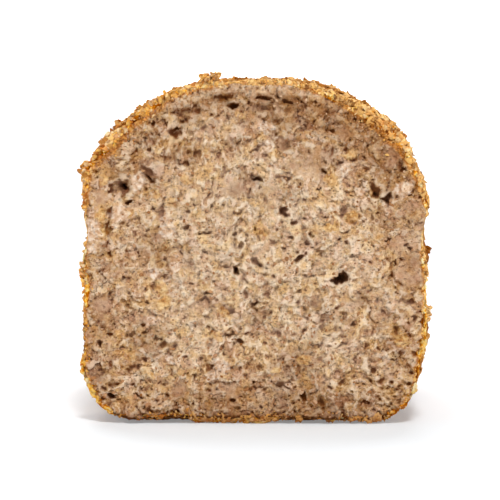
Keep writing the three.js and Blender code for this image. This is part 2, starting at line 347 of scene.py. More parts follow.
def finish_piece(piece, material, smooth_faces=True):
    piece.data.materials.append(material)
    piece.data.polygons.foreach_set("use_smooth", np.full(len(piece.data.polygons), smooth_faces))
    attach(piece, "root")
    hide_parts("loaf")
    return piece


def grid_faces(rows, columns, closed=False):
    """Quads over a grid whose points are numbered row by row."""
    i = np.arange(rows if closed else rows - 1)
    j = np.arange(columns - 1)
    i, j = np.meshgrid(i, j, indexing="ij")
    a = i * columns + j
    b = ((i + 1) % rows) * columns + j
    return np.stack([a, b, b + 1, a + 1], -1).reshape(-1, 4)


def border_loop(cells_across):
    """Numbers of a square grid's border points, from its low corner round the low v side."""
    n = cells_across
    k = np.arange(n)
    side = n + 1
    return np.concatenate([k * side, n * side + k, (n - k) * side + n, n - k])


def chart(u, v, box):
    """Places points of a unit square in a box (left, low, width, height) of the bake map."""
    left, low, width, height = box
    return np.stack([left + width * u, low + height * v], -1)


def seen_from_front(points, span, size, corner):
    """The bake map of points as seen from the front, in a square of the map."""
    return (points[..., [0, 2]] + [span / 2, 0]) / span * size + corner


# ---- Crumb: the cut face ----
# Larger pores: across, up, width, height, turn in degrees, depth, and darkness of the painted shade inside.
PORES = [
    (27.8, 47.0, 5.2, 4.3, 0, 6.0, 1.0), (-5.9, 49.0, 3.0, 3.2, 30, 4.5, 1.0),
    (1.1, 78.2, 4.6, 1.6, -3, 3.5, 0.9), (9.5, 68.4, 3.6, 3.6, 0, 3.2, 0.8),
    (12.9, 64.6, 2.4, 1.3, 0, 2.2, 0.8), (14.8, 53.4, 5.0, 1.6, 34, 2.6, 0.8),
    (1.5, 51.8, 4.2, 2.0, -22, 2.4, 0.6), (-42.0, 75.6, 7.0, 4.8, 10, 3.0, 0.45),
    (-41.3, 76.0, 2.4, 1.8, 0, 5.0, 1.0), (-39.4, 71.2, 2.2, 1.5, 0, 2.6, 0.9),
    (-33.8, 80.8, 6.0, 2.6, -52, 2.2, 0.3), (-33.5, 79.0, 3.6, 1.1, -52, 3.2, 0.9),
    (-24.9, 93.2, 4.2, 3.2, 10, 2.2, 0.35), (-24.7, 94.6, 3.4, 1.1, 12, 2.8, 0.85),
    (-21.5, 83.4, 4.4, 1.8, -6, 1.8, 0.6), (38.1, 74.8, 4.8, 4.4, -30, 2.6, 0.45),
    (38.6, 73.6, 2.4, 1.6, -20, 3.0, 0.8), (42.7, 72.4, 2.6, 3.8, -25, 3.0, 0.85),
    (4.3, 41.4, 3.0, 2.8, 0, 1.4, 0.4), (0.2, 38.8, 3.0, 1.5, 8, 2.2, 0.7),
    (-14.6, 42.1, 2.6, 1.8, 0, 2.6, 0.85), (-4.1, 26.3, 2.2, 1.6, 0, 2.4, 0.8),
    (-2.2, 29.0, 2.2, 1.8, 0, 1.6, 0.5), (-28.2, 25.2, 3.0, 3.0, 0, 1.8, 0.6),
    (-6.6, 101.8, 4.6, 1.7, 0, 3.2, 0.9), (3.2, 104.4, 4.4, 1.5, -2, 2.4, 0.6),
    (10.6, 103.4, 3.6, 2.0, -26, 2.0, 0.5), (3.8, 100.8, 6.0, 2.6, -8, 1.6, 0.3),
    (-45.6, 8.8, 2.6, 1.9, -20, 2.8, 0.95), (9.1, 12.3, 3.6, 2.4, -10, 1.8, 0.65),
    (15.8, 8.9, 3.2, 2.2, 0, 2.0, 0.75), (-49.0, 25.9, 1.6, 1.9, 0, 2.0, 0.8),
    (-35.5, 31.6, 1.7, 1.4, 0, 1.8, 0.8), (-21.9, 63.2, 2.5, 2.4, 0, 1.8, 0.65),
    (0.5, 62.8, 1.4, 1.7, 0, 1.8, 0.75), (42.6, 59.0, 2.0, 1.5, 0, 1.8, 0.7),
    (49.8, 55.8, 1.8, 2.2, 0, 1.6, 0.6), (-20.6, 51.4, 3.2, 3.8, 15, 1.0, 0.3),
    (-16.1, 20.4, 3.6, 2.8, 0, 1.2, 0.35), (21.9, 21.7, 2.8, 3.0, 0, 1.2, 0.35),
    (22.4, 81.0, 2.4, 1.2, -35, 2.2, 0.8), (20.6, 75.5, 1.8, 1.2, 30, 2.0, 0.8),
    (-14.8, 61.2, 2.8, 1.0, 4, 1.6, 0.6), (-4.3, 57.4, 2.0, 1.8, 0, 1.6, 0.6),
    (12.4, 60.0, 2.0, 1.6, 0, 1.6, 0.5), (9.6, 56.3, 2.2, 1.8, -20, 1.6, 0.5),
    (18.2, 61.2, 1.3, 2.4, 0, 1.6, 0.6), (-2.7, 41.5, 1.6, 2.4, 0, 1.4, 0.5),
    (-46.0, 68.0, 1.5, 4.4, -12, 1.4, 0.5), (-46.8, 62.4, 1.4, 5.0, 8, 1.5, 0.6),
    (44.2, 51.4, 1.5, 3.0, -18, 1.2, 0.35), (44.5, 47.8, 1.8, 2.6, 16, 1.4, 0.5),
    (46.6, 45.0, 2.6, 1.3, -36, 1.0, 0.35), (-45.8, 28.8, 2.0, 1.2, 0, 1.4, 0.5),
    (47.6, 81.6, 2.4, 1.6, 0, 1.6, 0.75), (24.9, 87.2, 1.6, 3.0, 0, 1.2, 0.4),
]
# Patches that stand out on the cut: across, up, width, height, turn in degrees, how far out, and
# whether they are golden oat, pale cream or close smooth dough.
PATCHES = [
    (-51.5, 61.9, 4.6, 6.2, 0, 0.7, "cream"), (-48.8, 67.2, 3.6, 5.0, 0, 0.6, "gold"),
    (-48.0, 61.4, 3.0, 4.4, 0, 0.6, "gold"), (-51.5, 56.1, 4.4, 3.0, 0, 0.5, "cream"),
    (-48.0, 77.8, 2.6, 3.2, 0, 0.5, "gold"), (-48.6, 73.0, 5.4, 6.6, 0, 0.1, "close"),
    (-37.0, 78.0, 4.6, 6.0, 15, 0.6, "cream"), (-30.8, 87.4, 2.6, 1.8, 10, 0.4, "gold"),
    (-31.2, 81.7, 4.4, 5.0, 0, 0.1, "close"), (-43.0, 68.0, 6.0, 6.4, 0, 0.5, "cream"),
    (-39.2, 67.3, 2.2, 3.4, 0, 0.3, "gold"), (-30.8, 73.7, 2.8, 3.4, 20, 0.4, "gold"),
    (-28.0, 63.0, 6.0, 7.4, -10, 0.4, "cream"), (-7.2, 76.9, 8.4, 6.2, 0, 0.1, "close"),
    (-13.9, 82.6, 4.0, 3.0, 0, 0.4, "gold"), (-21.9, 78.5, 4.4, 4.0, 0, 0.4, "gold"),
    (-4.3, 99.0, 3.4, 2.6, 0, 0.4, "gold"), (3.7, 95.4, 5.4, 4.0, 0, 0.5, "cream"),
    (4.6, 89.6, 4.0, 4.6, 0, 0.4, "cream"), (9.6, 89.4, 3.2, 5.0, 0, -0.6, "close"),
    (17.5, 82.0, 13.0, 6.0, -4, 0.0, "close"), (20.6, 86.6, 5.4, 4.4, 0, -0.2, "close"),
    (28.6, 81.0, 4.4, 4.0, 30, 0.5, "cream"), (29.8, 85.8, 3.4, 2.6, 0, 0.3, "gold"),
    (24.5, 79.0, 5.0, 4.4, 30, 0.3, "gold"), (48.0, 75.4, 5.4, 6.0, 0, 0.7, "cream"),
    (48.5, 76.5, 3.0, 3.0, 0, 0.2, "gold"), (29.2, 93.8, 7.0, 3.6, -6, 0.0, "close"),
    (43.5, 85.8, 7.4, 5.0, -25, 0.0, "close"), (50.0, 69.8, 6.0, 3.4, 0, 0.0, "close"),
    (50.0, 48.5, 8.6, 13.0, 0, 0.3, "close"), (42.0, 21.2, 2.2, 5.0, 0, 0.5, "cream"),
    (43.2, 15.8, 3.4, 5.4, 15, 0.2, "close"), (47.4, 26.8, 5.4, 4.4, 0, 0.4, "gold"),
    (11.6, 37.0, 2.4, 3.0, 20, 0.3, "gold"), (30.8, 38.0, 5.0, 4.4, 0, 0.2, "close"),
    (16.4, 20.4, 5.2, 3.4, 0, 0.3, "gold"), (6.9, 17.2, 4.4, 3.0, 0, 0.3, "gold"),
    (-32.2, 15.6, 2.2, 3.8, 15, 0.5, "gold"), (-29.4, 43.4, 3.4, 5.0, 0, 0.4, "gold"),
    (-28.6, 38.8, 3.0, 5.0, 0, 0.3, "gold"), (-32.0, 49.0, 2.2, 3.4, 0, 0.5, "cream"),
    (-25.0, 50.5, 3.6, 3.2, 0, 0.5, "cream"), (-22.5, 37.3, 2.2, 2.2, 0, 0.5, "cream"),
    (-33.0, 33.4, 3.0, 3.2, 0, 0.4, "cream"), (-49.0, 38.5, 6.4, 5.6, 0, 0.1, "close"),
    (-42.6, 29.4, 4.4, 2.8, 0, 0.3, "gold"), (-41.0, 22.4, 5.0, 3.8, 0, 0.3, "gold"),
    (-26.6, 20.6, 6.0, 1.8, -42, 0.5, "cream"), (-10.0, 36.6, 3.6, 5.4, 40, 0.2, "gold"),
    (-11.6, 28.2, 4.2, 3.4, 0, 0.3, "gold"), (-10.0, 18.8, 5.4, 4.4, 0, 0.2, "cream"),
    (-20.0, 18.8, 4.0, 5.0, 0, 0.1, "close"), (-13.2, 15.2, 3.8, 5.4, 0, 0.5, "cream"),
    (-6.0, 10.8, 7.0, 5.6, 0, 0.1, "close"), (-24.0, 11.5, 4.8, 6.0, 0, -0.5, "close"),
    (-3.3, 38.0, 2.0, 3.4, 0, 0.5, "cream"), (2.4, 62.6, 7.0, 5.0, 0, 0.3, "gold"),
    (24.6, 63.0, 5.4, 4.0, 0, 0.3, "gold"), (25.0, 69.0, 4.0, 3.4, 0, 0.5, "cream"),
    (31.6, 66.2, 5.0, 4.0, 0, 0.3, "gold"), (46.0, 58.0, 5.0, 5.0, 0, 0.2, "close"),
]
# Clumps of dough baked onto the rim: across, up, out of the crust, behind the cut, spread along
# the rim, spread in depth, and number of crumbs.
CLUMPS = [
    (-13.6, 110, 1.9, 2.6, 1.9, 1.2, 140), (8, 110, 0.2, 3.0, 4.0, 1.6, 80),
    (56, 35.5, 0.4, 2.0, 1.4, 1.2, 40), (-54, 71.5, 0.0, 0.8, 1.8, 0.8, 60),
    (-52, 79, 0.2, 0.8, 1.6, 0.8, 34), (-55, 48, 0.2, 1.2, 2.6, 0.8, 50),
    (-49, 87, 0.2, 1.0, 1.6, 0.8, 34), (56, 52, 0.0, 1.2, 3.0, 0.8, 40),
    (33, 103, 0.2, 2.0, 3.0, 1.2, 60), (-30, 101, 0.2, 2.0, 3.0, 1.2, 50),
]
# Oat flakes that stick out at the rim: across, up and length.
RIM_FLAKES = [
    (-30.8, 103.5, 3.2), (-25.0, 105.5, 4.2), (-20.5, 107.0, 3.0), (25.5, 105.8, 3.4),
    (31.0, 103.8, 4.0), (34.4, 101.0, 4.0), (38.5, 98.0, 3.8), (53.8, 77.8, 4.2), (54.4, 71.6, 4.4),
    (55.2, 51.5, 3.4), (-55.0, 71.0, 2.8), (-56.0, 48.0, 3.2), (46.0, 88.5, 3.0), (-48.5, 86.0, 3.0),
]

PORE_REACH = 54  # small pores lie this far to each side at most
# Places on the outline, as shares of the way round it from the middle of the base.
RIGHT_SHOULDER, TOP, LEFT_SHOULDER = 0.385, 0.495, 0.62


def bare(z):
    """How bare of crust the rim is at a height: crumb bulges out where the sides tore open."""
    return ramp(np.abs(z - TEAR_HEIGHT - 2), 8, 5)


def base_gap(x):
    """How far the crust stands off the floor under the cut, from 0 to 1."""
    along = np.stack([x, 0 * x, 0 * x + 0.5], -1)
    wander = noise(along, 4.6) + 0.5 * noise(along, 1.5) + bell(x, -24, 7) + 0.7 * bell(x, 34, 4)
    return ramp(wander, -0.2, 0.7)


def rim_width(share):
    """How far the crumb stops short of the outline, leaving the crust's sloping edge."""
    share = np.asarray(share) % 1.0
    around = np.stack([np.cos(TAU * share) * 60, np.sin(TAU * share) * 60, 0 * share], -1)
    to_base = np.minimum(share, 1 - share)
    width = 0.85 + 1.8 * bell(share, RIGHT_SHOULDER, 0.05) + 2.1 * bell(share, LEFT_SHOULDER, 0.045)
    width += 1.3 * bell(to_base, 0, 0.1) - 0.4 * bell(share, TOP, 0.035)
    width += 0.6 * noise(around, 6) + 0.4 * noise(around, 2.5)
    return np.maximum(width * (1 - 0.8 * bare(outline_points(share)[..., 1])), 0.2)


def density(share, from_rim):
    """How close and dark the crumb is, inside the crust, from 0 to 1."""
    strength = 0.3 + 0.65 * bell(share, 0.43, 0.12) + 0.3 * bell(np.minimum(share, 1 - share), 0, 0.1)
    strength += 0.25 * bell(share, 0.8, 0.05)
    return np.clip(strength, 0, 1) * ramp(from_rim, 24, 3)


def rough_outline(share):
    """The outline at the cut with the lumps, crags and tear of the crust."""
    edge = outline_points(share)
    ahead = outline_points(share + SHARE_STEP) - outline_points(share - SHARE_STEP)
    out = np.stack([ahead[..., 1], -ahead[..., 0]], -1)
    out /= np.linalg.norm(out, axis=-1, keepdims=True)
    return edge + out * coarse_relief(placed(edge, CUT_Y), placed(out, 0))[..., None]


def nearest_share(x, z):
    """The share of the outline nearest to a point of the section."""
    share = np.arange(0, 1, SHARE_STEP)
    return share[np.argmin(np.linalg.norm(outline_points(share) - [x, z], axis=-1))]


def inset_outline(share, inset):
    return moved_in(rough_outline(share), inset)


def small_pores():
    """Random small pores; those close to the base are larger, and more of them to the sides."""
    random = np.random.default_rng(5)
    pores = []
    for number in range(SMALL_PORES):
        is_low = number < LOW_PORES
        size = (0.6 if is_low else 0.45) + random.random() ** (3 if is_low else 5)
        if is_low:
            x = PORE_REACH * math.sin(random.uniform(-1.5, 1.5))
        else:
            x = random.uniform(-PORE_REACH, PORE_REACH)
        z = random.uniform(2, 14 if is_low else HEIGHT - 0.5)
        pores.append((
            x, z, size * random.uniform(1, 2), size, random.uniform(-40, 40),
            size * random.uniform(0.7, 1.3), random.uniform(0.3 if is_low else 0.25, 0.7),
        ))
    return pores


ALL_PORES = PORES + small_pores()


def ragged_oval(at, bend, px, pz, width, height, turn):
    """The points near an oval, and how far each is from its middle, with 1 at its ragged edge."""
    off = at - [px, pz]
    near = np.nonzero(np.abs(off).max(axis=-1) < max(width, height) + 0.5)[0]
    share = min(1, min(width, height) / 2.4)
    dx, dz = (off[near] + bend[near][:, [0, 2]] * share).T
    c, s = math.cos(math.radians(turn)), math.sin(math.radians(turn))
    reach = np.hypot((dx * c + dz * s) / (width / 2), (dz * c - dx * s) / (height / 2))
    return near, reach * (1 + 0.5 * bend[near, 1])


def bowl(reach):
    """The depth of a round hollow, from 1 in its middle to 0 at a reach of 1."""
    return np.sqrt(np.clip(1 - reach**2, 0, 1))


def crumb_relief(at):
    """The cut surface's depth behind the knife's plane, and what its material reads."""
    solid = placed(at, CUT_Y)
    torn = solid
    for amount, size in ((2.2, 5.5), (1.3, 2.8), (0.7, 1.5), (0.35, 0.8)):
        torn = torn + amount * drift(solid, size)
    depth = 0.4 * noise(solid, 9)
    looks = {name: np.zeros(len(at)) for name in ("pore_shade", "tone", "gold", "cream", "close")}
    # Torn plates of dough and oat, each at its own depth and lean.
    for size, step, lean, gap, width in ((5.2, 0.9, 0.25, 0.3, 0.5), (2.5, 0.7, 0.35, 0.05, 0.3)):
        plate = cells(torn[:, [0, 2]], size)
        number = plate["number"]
        leans = np.stack([scatter(number, 7), scatter(number, 8)], -1) - 0.5
        depth += step * (scatter(number, 9) - 0.5)
        depth += lean * (leans * plate["away"]).sum(-1)
        depth += gap * bell(plate["gap"], 0, width) * ramp(scatter(number, 4), 0.3, 0.9)
        looks["tone"] += 0.5 * scatter(number, 3)
    for size, height in ((6.5, 0.3), (3.3, 0.26), (1.8, 0.14), (1.0, 0.08)):
        depth += height * creased(torn + 90 * size, size)
    bent = solid + 0.5 * drift(solid, 1.4) + 0.3 * drift(solid, 0.7)
    for size, deep in ((3.6, 1.5), (1.9, 0.9), (1.1, 0.5)):
        depth += deep * ramp(noise(bent + 50 * size, size), 0.34, 0.9)
        depth -= 0.35 * deep * ramp(noise(bent + 70 * size, size), 0.3, 0.8)
    # Rounder bubbles, each with its own width.
    for size, most in ((2.7, 0.3), (1.5, 0.28)):
        bubble = cells(bent[:, [0, 2]], size)
        radius = size * most * scatter(bubble["number"], 11) ** 1.5 + 0.05
        depth += 1.1 * radius * bowl(bubble["near"] / radius)
    # Coarser close to the base.
    depth += 0.3 * ramp(at[:, 1], 20, 6) * (creased(torn + 200, 2.6) + 0.7 * creased(torn + 240, 1.3))
    bend = 0.9 * drift(solid, 2.1) + 0.5 * drift(solid, 0.95)
    for *oval, out, look in PATCHES:
        near, reach = ragged_oval(at, bend, *oval)
        share = ramp(1.15 - reach, 0, 0.4)
        if look == "close":
            depth[near] += (0.25 - depth[near]) * 0.8 * share
        depth[near] -= 1.5 * out * np.sqrt(np.clip(1.1 - reach, 0, 1))
        looks[look][near] = np.maximum(looks[look][near], share)
    for *oval, deep, darkness in ALL_PORES:
        near, reach = ragged_oval(at, bend, *oval)
        depth[near] = np.maximum(depth[near], depth[near] * 0.4 + bowl(reach) * deep)
        # How dark a painted shade the crumb material lays inside this pore.
        pore_shade = darkness * ramp(1.08 - reach, 0, 0.75)
        looks["pore_shade"][near] = np.maximum(looks["pore_shade"][near], pore_shade)
    return depth, looks


def local_mean(grid, reach):
    """The mean of a square grid of values over the cells within `reach`."""
    wide = 2 * reach + 1
    padded = np.pad(grid, reach + 1, mode="edge")[:-1, :-1]
    total = np.cumsum(np.cumsum(padded, 0), 1)
    total = np.pad(total, ((1, 0), (1, 0)))[1:, 1:]
    box = total[wide:, wide:] - total[:-wide, wide:] - total[wide:, :-wide] + total[:-wide, :-wide]
    return box / wide**2


def add_crumb_looks(looks, front, share, from_rim, depth):
    """Adds how low each place is, which the material paints as shade and highlight, how dense, and how far
    from the browned rim.
    """
    grid = depth.reshape(FACE_CELLS + 1, FACE_CELLS + 1)
    looks["low"] = (grid - 0.6 * local_mean(grid, 4) - 0.4 * local_mean(grid, 11)).ravel()
    shoulders = bell(share, RIGHT_SHOULDER, 0.06) + bell(share, LEFT_SHOULDER, 0.06)
    looks["from_rim"] = from_rim + 1.3 * bell(share, TOP, 0.035) + 2 * bare(front[:, 2]) - 1.2 * shoulders
    # Under the middle of the top the crumb is pale again, close to the rim.
    wander = 1.2 * noise(front + 40, 3.2) + 0.7 * noise(front + 80, 1.4)
    band = bell(front[:, 0], -2, 30) * ramp(front[:, 2], 98, 102) * ramp(from_rim + wander, 3.4, 1.8)
    for name, strength in (("cream", 0.45), ("gold", 0.35)):
        looks[name] = np.maximum(looks[name], strength * band)
    looks["dense"] = density(share, from_rim) * (1 - band)


def build_crumb(material):
    line = np.linspace(-1, 1, FACE_CELLS + 1)
    u, v = [grid.ravel() for grid in np.meshgrid(line, line, indexing="ij")]
    ring, share = square_ring(u, v)
    edge = inset_outline(share, rim_width(share))
    at = MIDDLE + (edge - MIDDLE) * ring[:, None]
    from_rim = np.linalg.norm(edge - at, axis=-1)
    depth, looks = crumb_relief(at)
    depth = np.clip(depth, -0.9, 0.3 + 1.5 * from_rim)
    front = placed(at, CUT_Y + depth)
    add_crumb_looks(looks, front, share, from_rim, depth)
    # Behind the face the plug is a straight wall and a flat cap.
    loop = border_loop(FACE_CELLS)
    back = placed(at[loop], CUT_Y + CRUMB_DEPTH)
    points = np.vstack([front, back, [[MIDDLE[0], CUT_Y + CRUMB_DEPTH, MIDDLE[1]]]])
    faces = grid_faces(FACE_CELLS + 1, FACE_CELLS + 1)
    k = np.arange(len(loop))
    following = np.roll(k, -1)
    first = len(front)
    wall = np.stack([loop, first + k, first + following, loop[following]], -1)
    cap = np.stack([first + following, first + k, np.full_like(k, len(points) - 1)], -1)
    attributes = {name: np.append(values, np.zeros(len(back) + 1)) for name, values in looks.items()}
    face_uv = seen_from_front(points, FACE_SPAN, 0.94, 0.03)[faces]
    run = (k[:, None] + np.array([0, 0, 1, 1])) / len(loop)
    wall_uv = chart(run, np.array([0, 1, 1, 0]) + 0 * run, (0.01, 0.005, 0.98, 0.01))
    cap_uv = seen_from_front(points[cap], FACE_SPAN, 0.015, [0.005, 0.98])
    uv = np.concatenate([part.reshape(-1, 2) for part in (face_uv, wall_uv, cap_uv)])
    finish_piece(make_mesh("crumb", points, [faces, wall, cap], attributes, uv), material)


# ---- Crust ----
def graded_steps(total, count, growth):
    """Distances from 0 to `total`, where the last step is `growth` times the first."""
    steps = growth ** np.linspace(0, 1, count)
    run = np.concatenate([[0], np.cumsum(steps)])
    return run / run[-1] * total


def roughened(coarse, closed, rise=1.0):
    """A part of the crust: its points before and after the fine relief, and what goes with them."""
    normals = grid_normals(coarse, closed)
    relief, tone = fine_relief(coarse)
    fine = coarse + normals * (relief * rise)[..., None]
    fine[..., 2] = np.maximum(fine[..., 2], 0)
    return {
        "coarse": coarse, "fine": fine, "normals": normals, "relief": relief, "tone": tone,
        "closed": closed,
    }


def crust_rows(share, runs):
    """Rows of the crust along the loaf, each at its own distances from the cut."""
    return crusted(np.stack([side_points(share, run) for run in runs], 1), True)


def slope_rows(share):
    """Rows of the crust's edge, bending from the crumb to the side, and where they end."""
    rim = rim_width(share)
    slope = RIM_SLOPE * (0.5 + rim / 3)
    rows = []
    for t in np.arange(SLOPE_ROWS) / SLOPE_ROWS * math.pi / 2:
        edge = inset_outline(share, rim * (1 - math.sin(t)))
        rows.append(placed(edge, CUT_Y + SLOPE_START + slope * (1 - math.cos(t))))
    return np.stack(rows, 1), slope + SLOPE_START


def crust_collar(share):
    """The crust's fine edge, from the crumb's rim to a little way along the side."""
    slope, start = slope_rows(share)
    side = crust_rows(share, [start + COLLAR_STEP * row for row in range(COLLAR_ROWS)])
    coarse = np.concatenate([slope, side], 1)
    number = np.arange(coarse.shape[1])
    collar = roughened(coarse, True, 0.35 + 0.65 * ramp(number, 0, 6))
    fine = collar["fine"]
    # The last rows sink into the rest of the crust.
    fine -= collar["normals"] * (np.clip(number - len(number) + 5, 0, None) * 0.3)[:, None]
    # Ragged gaps under the cut's lower edge.
    gap = 2.3 * base_gap(fine[..., 0])
    fine[..., 2] += gap * bell(fine[..., 1], CUT_Y, 6) * ramp(fine[..., 2], 3.0, 0.4)
    return collar


def map_attributes(part, points):
    """What the crust's material reads: relief, tone and how torn a place is."""
    at_cut = bell(points[:, 0], -4, 22) * (points[:, 2] > 90) * bell(points[:, 1], CUT_Y, 3)
    open_rim = bare(points[:, 2]) * bell(points[:, 1], CUT_Y, 5)
    torn = np.maximum(np.maximum(tear_share(points), 0.8 * at_cut), open_rim)
    extra = np.zeros(len(points) - part["relief"].size)
    known = {key: np.append(part[key], extra) for key in ("relief", "tone")}
    return {**known, "torn": torn}


def build_collar(material):
    """The crust's fine edge, as a ring that two more rows close on its inner side."""
    around = 4 * COLLAR_CELLS
    share = FIRST_SHARE + np.arange(around) / around
    collar = crust_collar(share)
    fine = collar["fine"]
    back = placed(inset_outline(share, COLLAR_BACK_INSET), fine[:, -1, 1])
    front = inset_outline(share, rim_width(share) + COLLAR_FRONT_INSET)
    front = placed(front, CUT_Y + COLLAR_FRONT_DEPTH)
    grid = np.concatenate([fine, back[:, None], front[:, None]], 1)
    columns = grid.shape[1]
    points = grid.reshape(-1, 3)
    i, j = np.meshgrid(np.arange(around), np.arange(columns), indexing="ij")
    i, j = i[..., None], j[..., None]
    faces = (i + QUAD_I) % around * columns + (j + QUAD_J) % columns
    across = (i % COLLAR_CELLS + QUAD_I) / COLLAR_CELLS
    along = (j + QUAD_J) / columns
    uv = np.stack([0.01 + 0.98 * across, 0.005 + 0.25 * (i // COLLAR_CELLS) + 0.24 * along], -1)
    extra = np.zeros((around, 2))
    part = {key: np.concatenate([collar[key], extra], 1) for key in ("relief", "tone")}
    attributes = map_attributes(part, points)
    piece = make_mesh("crust_rim", points, [faces.reshape(-1, 4)], attributes, uv.reshape(-1, 2))
    finish_piece(piece, material)
    return collar


def crust_uv(around, columns, heel_cells, cap_points):
    """The crust's bake map: the sides in four charts, the heel in one, the front in two more."""
    k = np.arange(around)[:, None]
    charts = np.array([(0.01, 0.34, 0.64), (0.34, 0.34, 0.64), (0.67, 0.34, 0.64), (0.01, 0.01, 0.31)])
    left, low, tall = charts[k // RING_CELLS].transpose(2, 0, 1)[..., None]
    across = (k % RING_CELLS + QUAD_I) / RING_CELLS
    along = (np.arange(columns - 1)[:, None] + QUAD_J) / (columns - 1)
    sides = np.stack([left + 0.31 * across[:, None] + 0 * along, low + tall * along], -1)
    line = np.linspace(0, 1, RING_CELLS + 1)
    u, v = np.meshgrid(line, line, indexing="ij")
    heel = chart(u.ravel(), v.ravel(), (0.34, 0.01, 0.31, 0.31))[heel_cells]
    run = (k + QUAD_I) / around
    strip = chart(run, np.array([0, 0, 1, 1]) + 0 * run, (0.67, 0.28, 0.31, 0.03))
    cap = seen_from_front(cap_points, CRUST_SPAN, 0.2, [0.68, 0.01])
    return np.concatenate([part.reshape(-1, 2) for part in (sides, heel, strip, cap)])


def build_crust(material):
    """The rest of the crust: the sides, the heel, and a closed front behind the crumb."""
    around = 4 * RING_CELLS
    k = np.arange(around)
    following = np.roll(k, -1)
    share = FIRST_SHARE + k / around
    whole = STRAIGHT_LENGTH + HALF_ARC - CRUST_START
    runs = CRUST_START + graded_steps(whole, SIDE_ROWS, 1.8)
    sides = roughened(crust_rows(share, runs), True)
    # The first rows sink under the fine edge.
    sink = np.clip(3 - np.arange(len(runs)), 0, None) * 0.35
    sides["fine"] -= sides["normals"] * sink[:, None]
    line = np.linspace(-1, 1, RING_CELLS + 1)
    heel = roughened(crusted(heel_points(*np.meshgrid(line, line, indexing="ij")), False), False)
    inner_y = CUT_Y + CRUST_START + CRUST_FRONT_DEPTH
    inner = placed(inset_outline(share, CRUST_FRONT_INSET), inner_y)
    centre = [[MIDDLE[0], inner[0, 1], MIDDLE[1]]]
    points = np.vstack([sides["fine"].reshape(-1, 3), heel["fine"].reshape(-1, 3), inner, centre])
    columns = len(runs)
    heel_start = around * columns
    inner_start = heel_start + (RING_CELLS + 1) ** 2
    # The heel's border is the last row of the sides.
    border = heel_start + border_loop(RING_CELLS)
    merge = np.arange(len(points))
    merge[border] = k * columns + columns - 1
    first = k * columns
    heel_cells = grid_faces(RING_CELLS + 1, RING_CELLS + 1)[:, ::-1]
    cap_faces = np.stack([inner_start + k, inner_start + following, np.full(around, len(points) - 1)], -1)
    faces = [
        grid_faces(around, columns, True)[:, ::-1],
        merge[heel_cells + heel_start],
        np.stack([first, first[following], inner_start + following, inner_start + k], -1),
        cap_faces,
    ]
    uv = crust_uv(around, columns, heel_cells, points[cap_faces])
    kept = np.ones(len(points), dtype=bool)
    kept[border] = False
    renumber = np.cumsum(kept) - 1
    faces = [renumber[part] for part in faces]
    both = {key: np.append(sides[key], heel[key]) for key in ("relief", "tone")}
    attributes = {key: values[kept] for key, values in map_attributes(both, points).items()}
    finish_piece(make_mesh("crust", points[kept], faces, attributes, uv), material)
    return [sides, heel]


# ---- Flakes and grit ----
def scattered_places(count, seed, parts, want):
    """Points and normals spread over the crust by area; `want` gives how likely each cell is."""
    places, normals, weights = [], [], []
    for part in parts:
        coarse, fine, normal = part["coarse"], part["fine"], part["normals"]
        rows = coarse.shape[0]
        i = np.arange(rows if part["closed"] else rows - 1)
        low, high = coarse[i][:, :-1], coarse[(i + 1) % rows][:, :-1]
        across, along = high - low, coarse[i][:, 1:] - low
        area = np.linalg.norm(np.cross(across, along), axis=-1)
        middle = (fine[i][:, :-1] + fine[(i + 1) % rows][:, 1:]) / 2
        places.append(middle.reshape(-1, 3))
        normals.append(normal[i][:, :-1].reshape(-1, 3))
        weights.append((area * want(middle, normal[i][:, :-1])).ravel())
    places, normals, weights = np.vstack(places), np.vstack(normals), np.concatenate(weights)
    total = np.cumsum(weights)
    random = np.random.default_rng(seed)
    target = (np.arange(count) + random.random(count)) / count * total[-1]
    chosen = np.minimum(np.searchsorted(total, target), len(total) - 1)
    return places[chosen] + random.normal(0, 0.2, (count, 3)), normals[chosen]


def leaning_frames(normals, lean, random):
    """Three axes at each place, spun about the normal and leaned out of it."""
    count = len(normals)
    helper = np.where(np.abs(normals[:, 2:3]) < 0.8, [[0, 0, 1]], [[1, 0, 0]])
    a = np.cross(helper, normals)
    a /= np.linalg.norm(a, axis=1, keepdims=True)
    b = np.cross(normals, a)
    spin = random.uniform(0, TAU, count)[:, None]
    a, b = a * np.cos(spin) + b * np.sin(spin), b * np.cos(spin) - a * np.sin(spin)
    tilt = random.normal(0, lean, count)[:, None]
    return a * np.cos(tilt) - normals * np.sin(tilt), b, normals * np.cos(tilt) + a * np.sin(tilt)


def map_squares(count, flat):
    """The bake map of `count` copies of a flat layout, each in a square of its own."""
    across = math.ceil(math.sqrt(count))
    number = np.arange(count)
    low = np.stack([number % across, number // across], -1)[:, None, None, :]
    return ((low + flat[None]) / across).reshape(-1, 2)


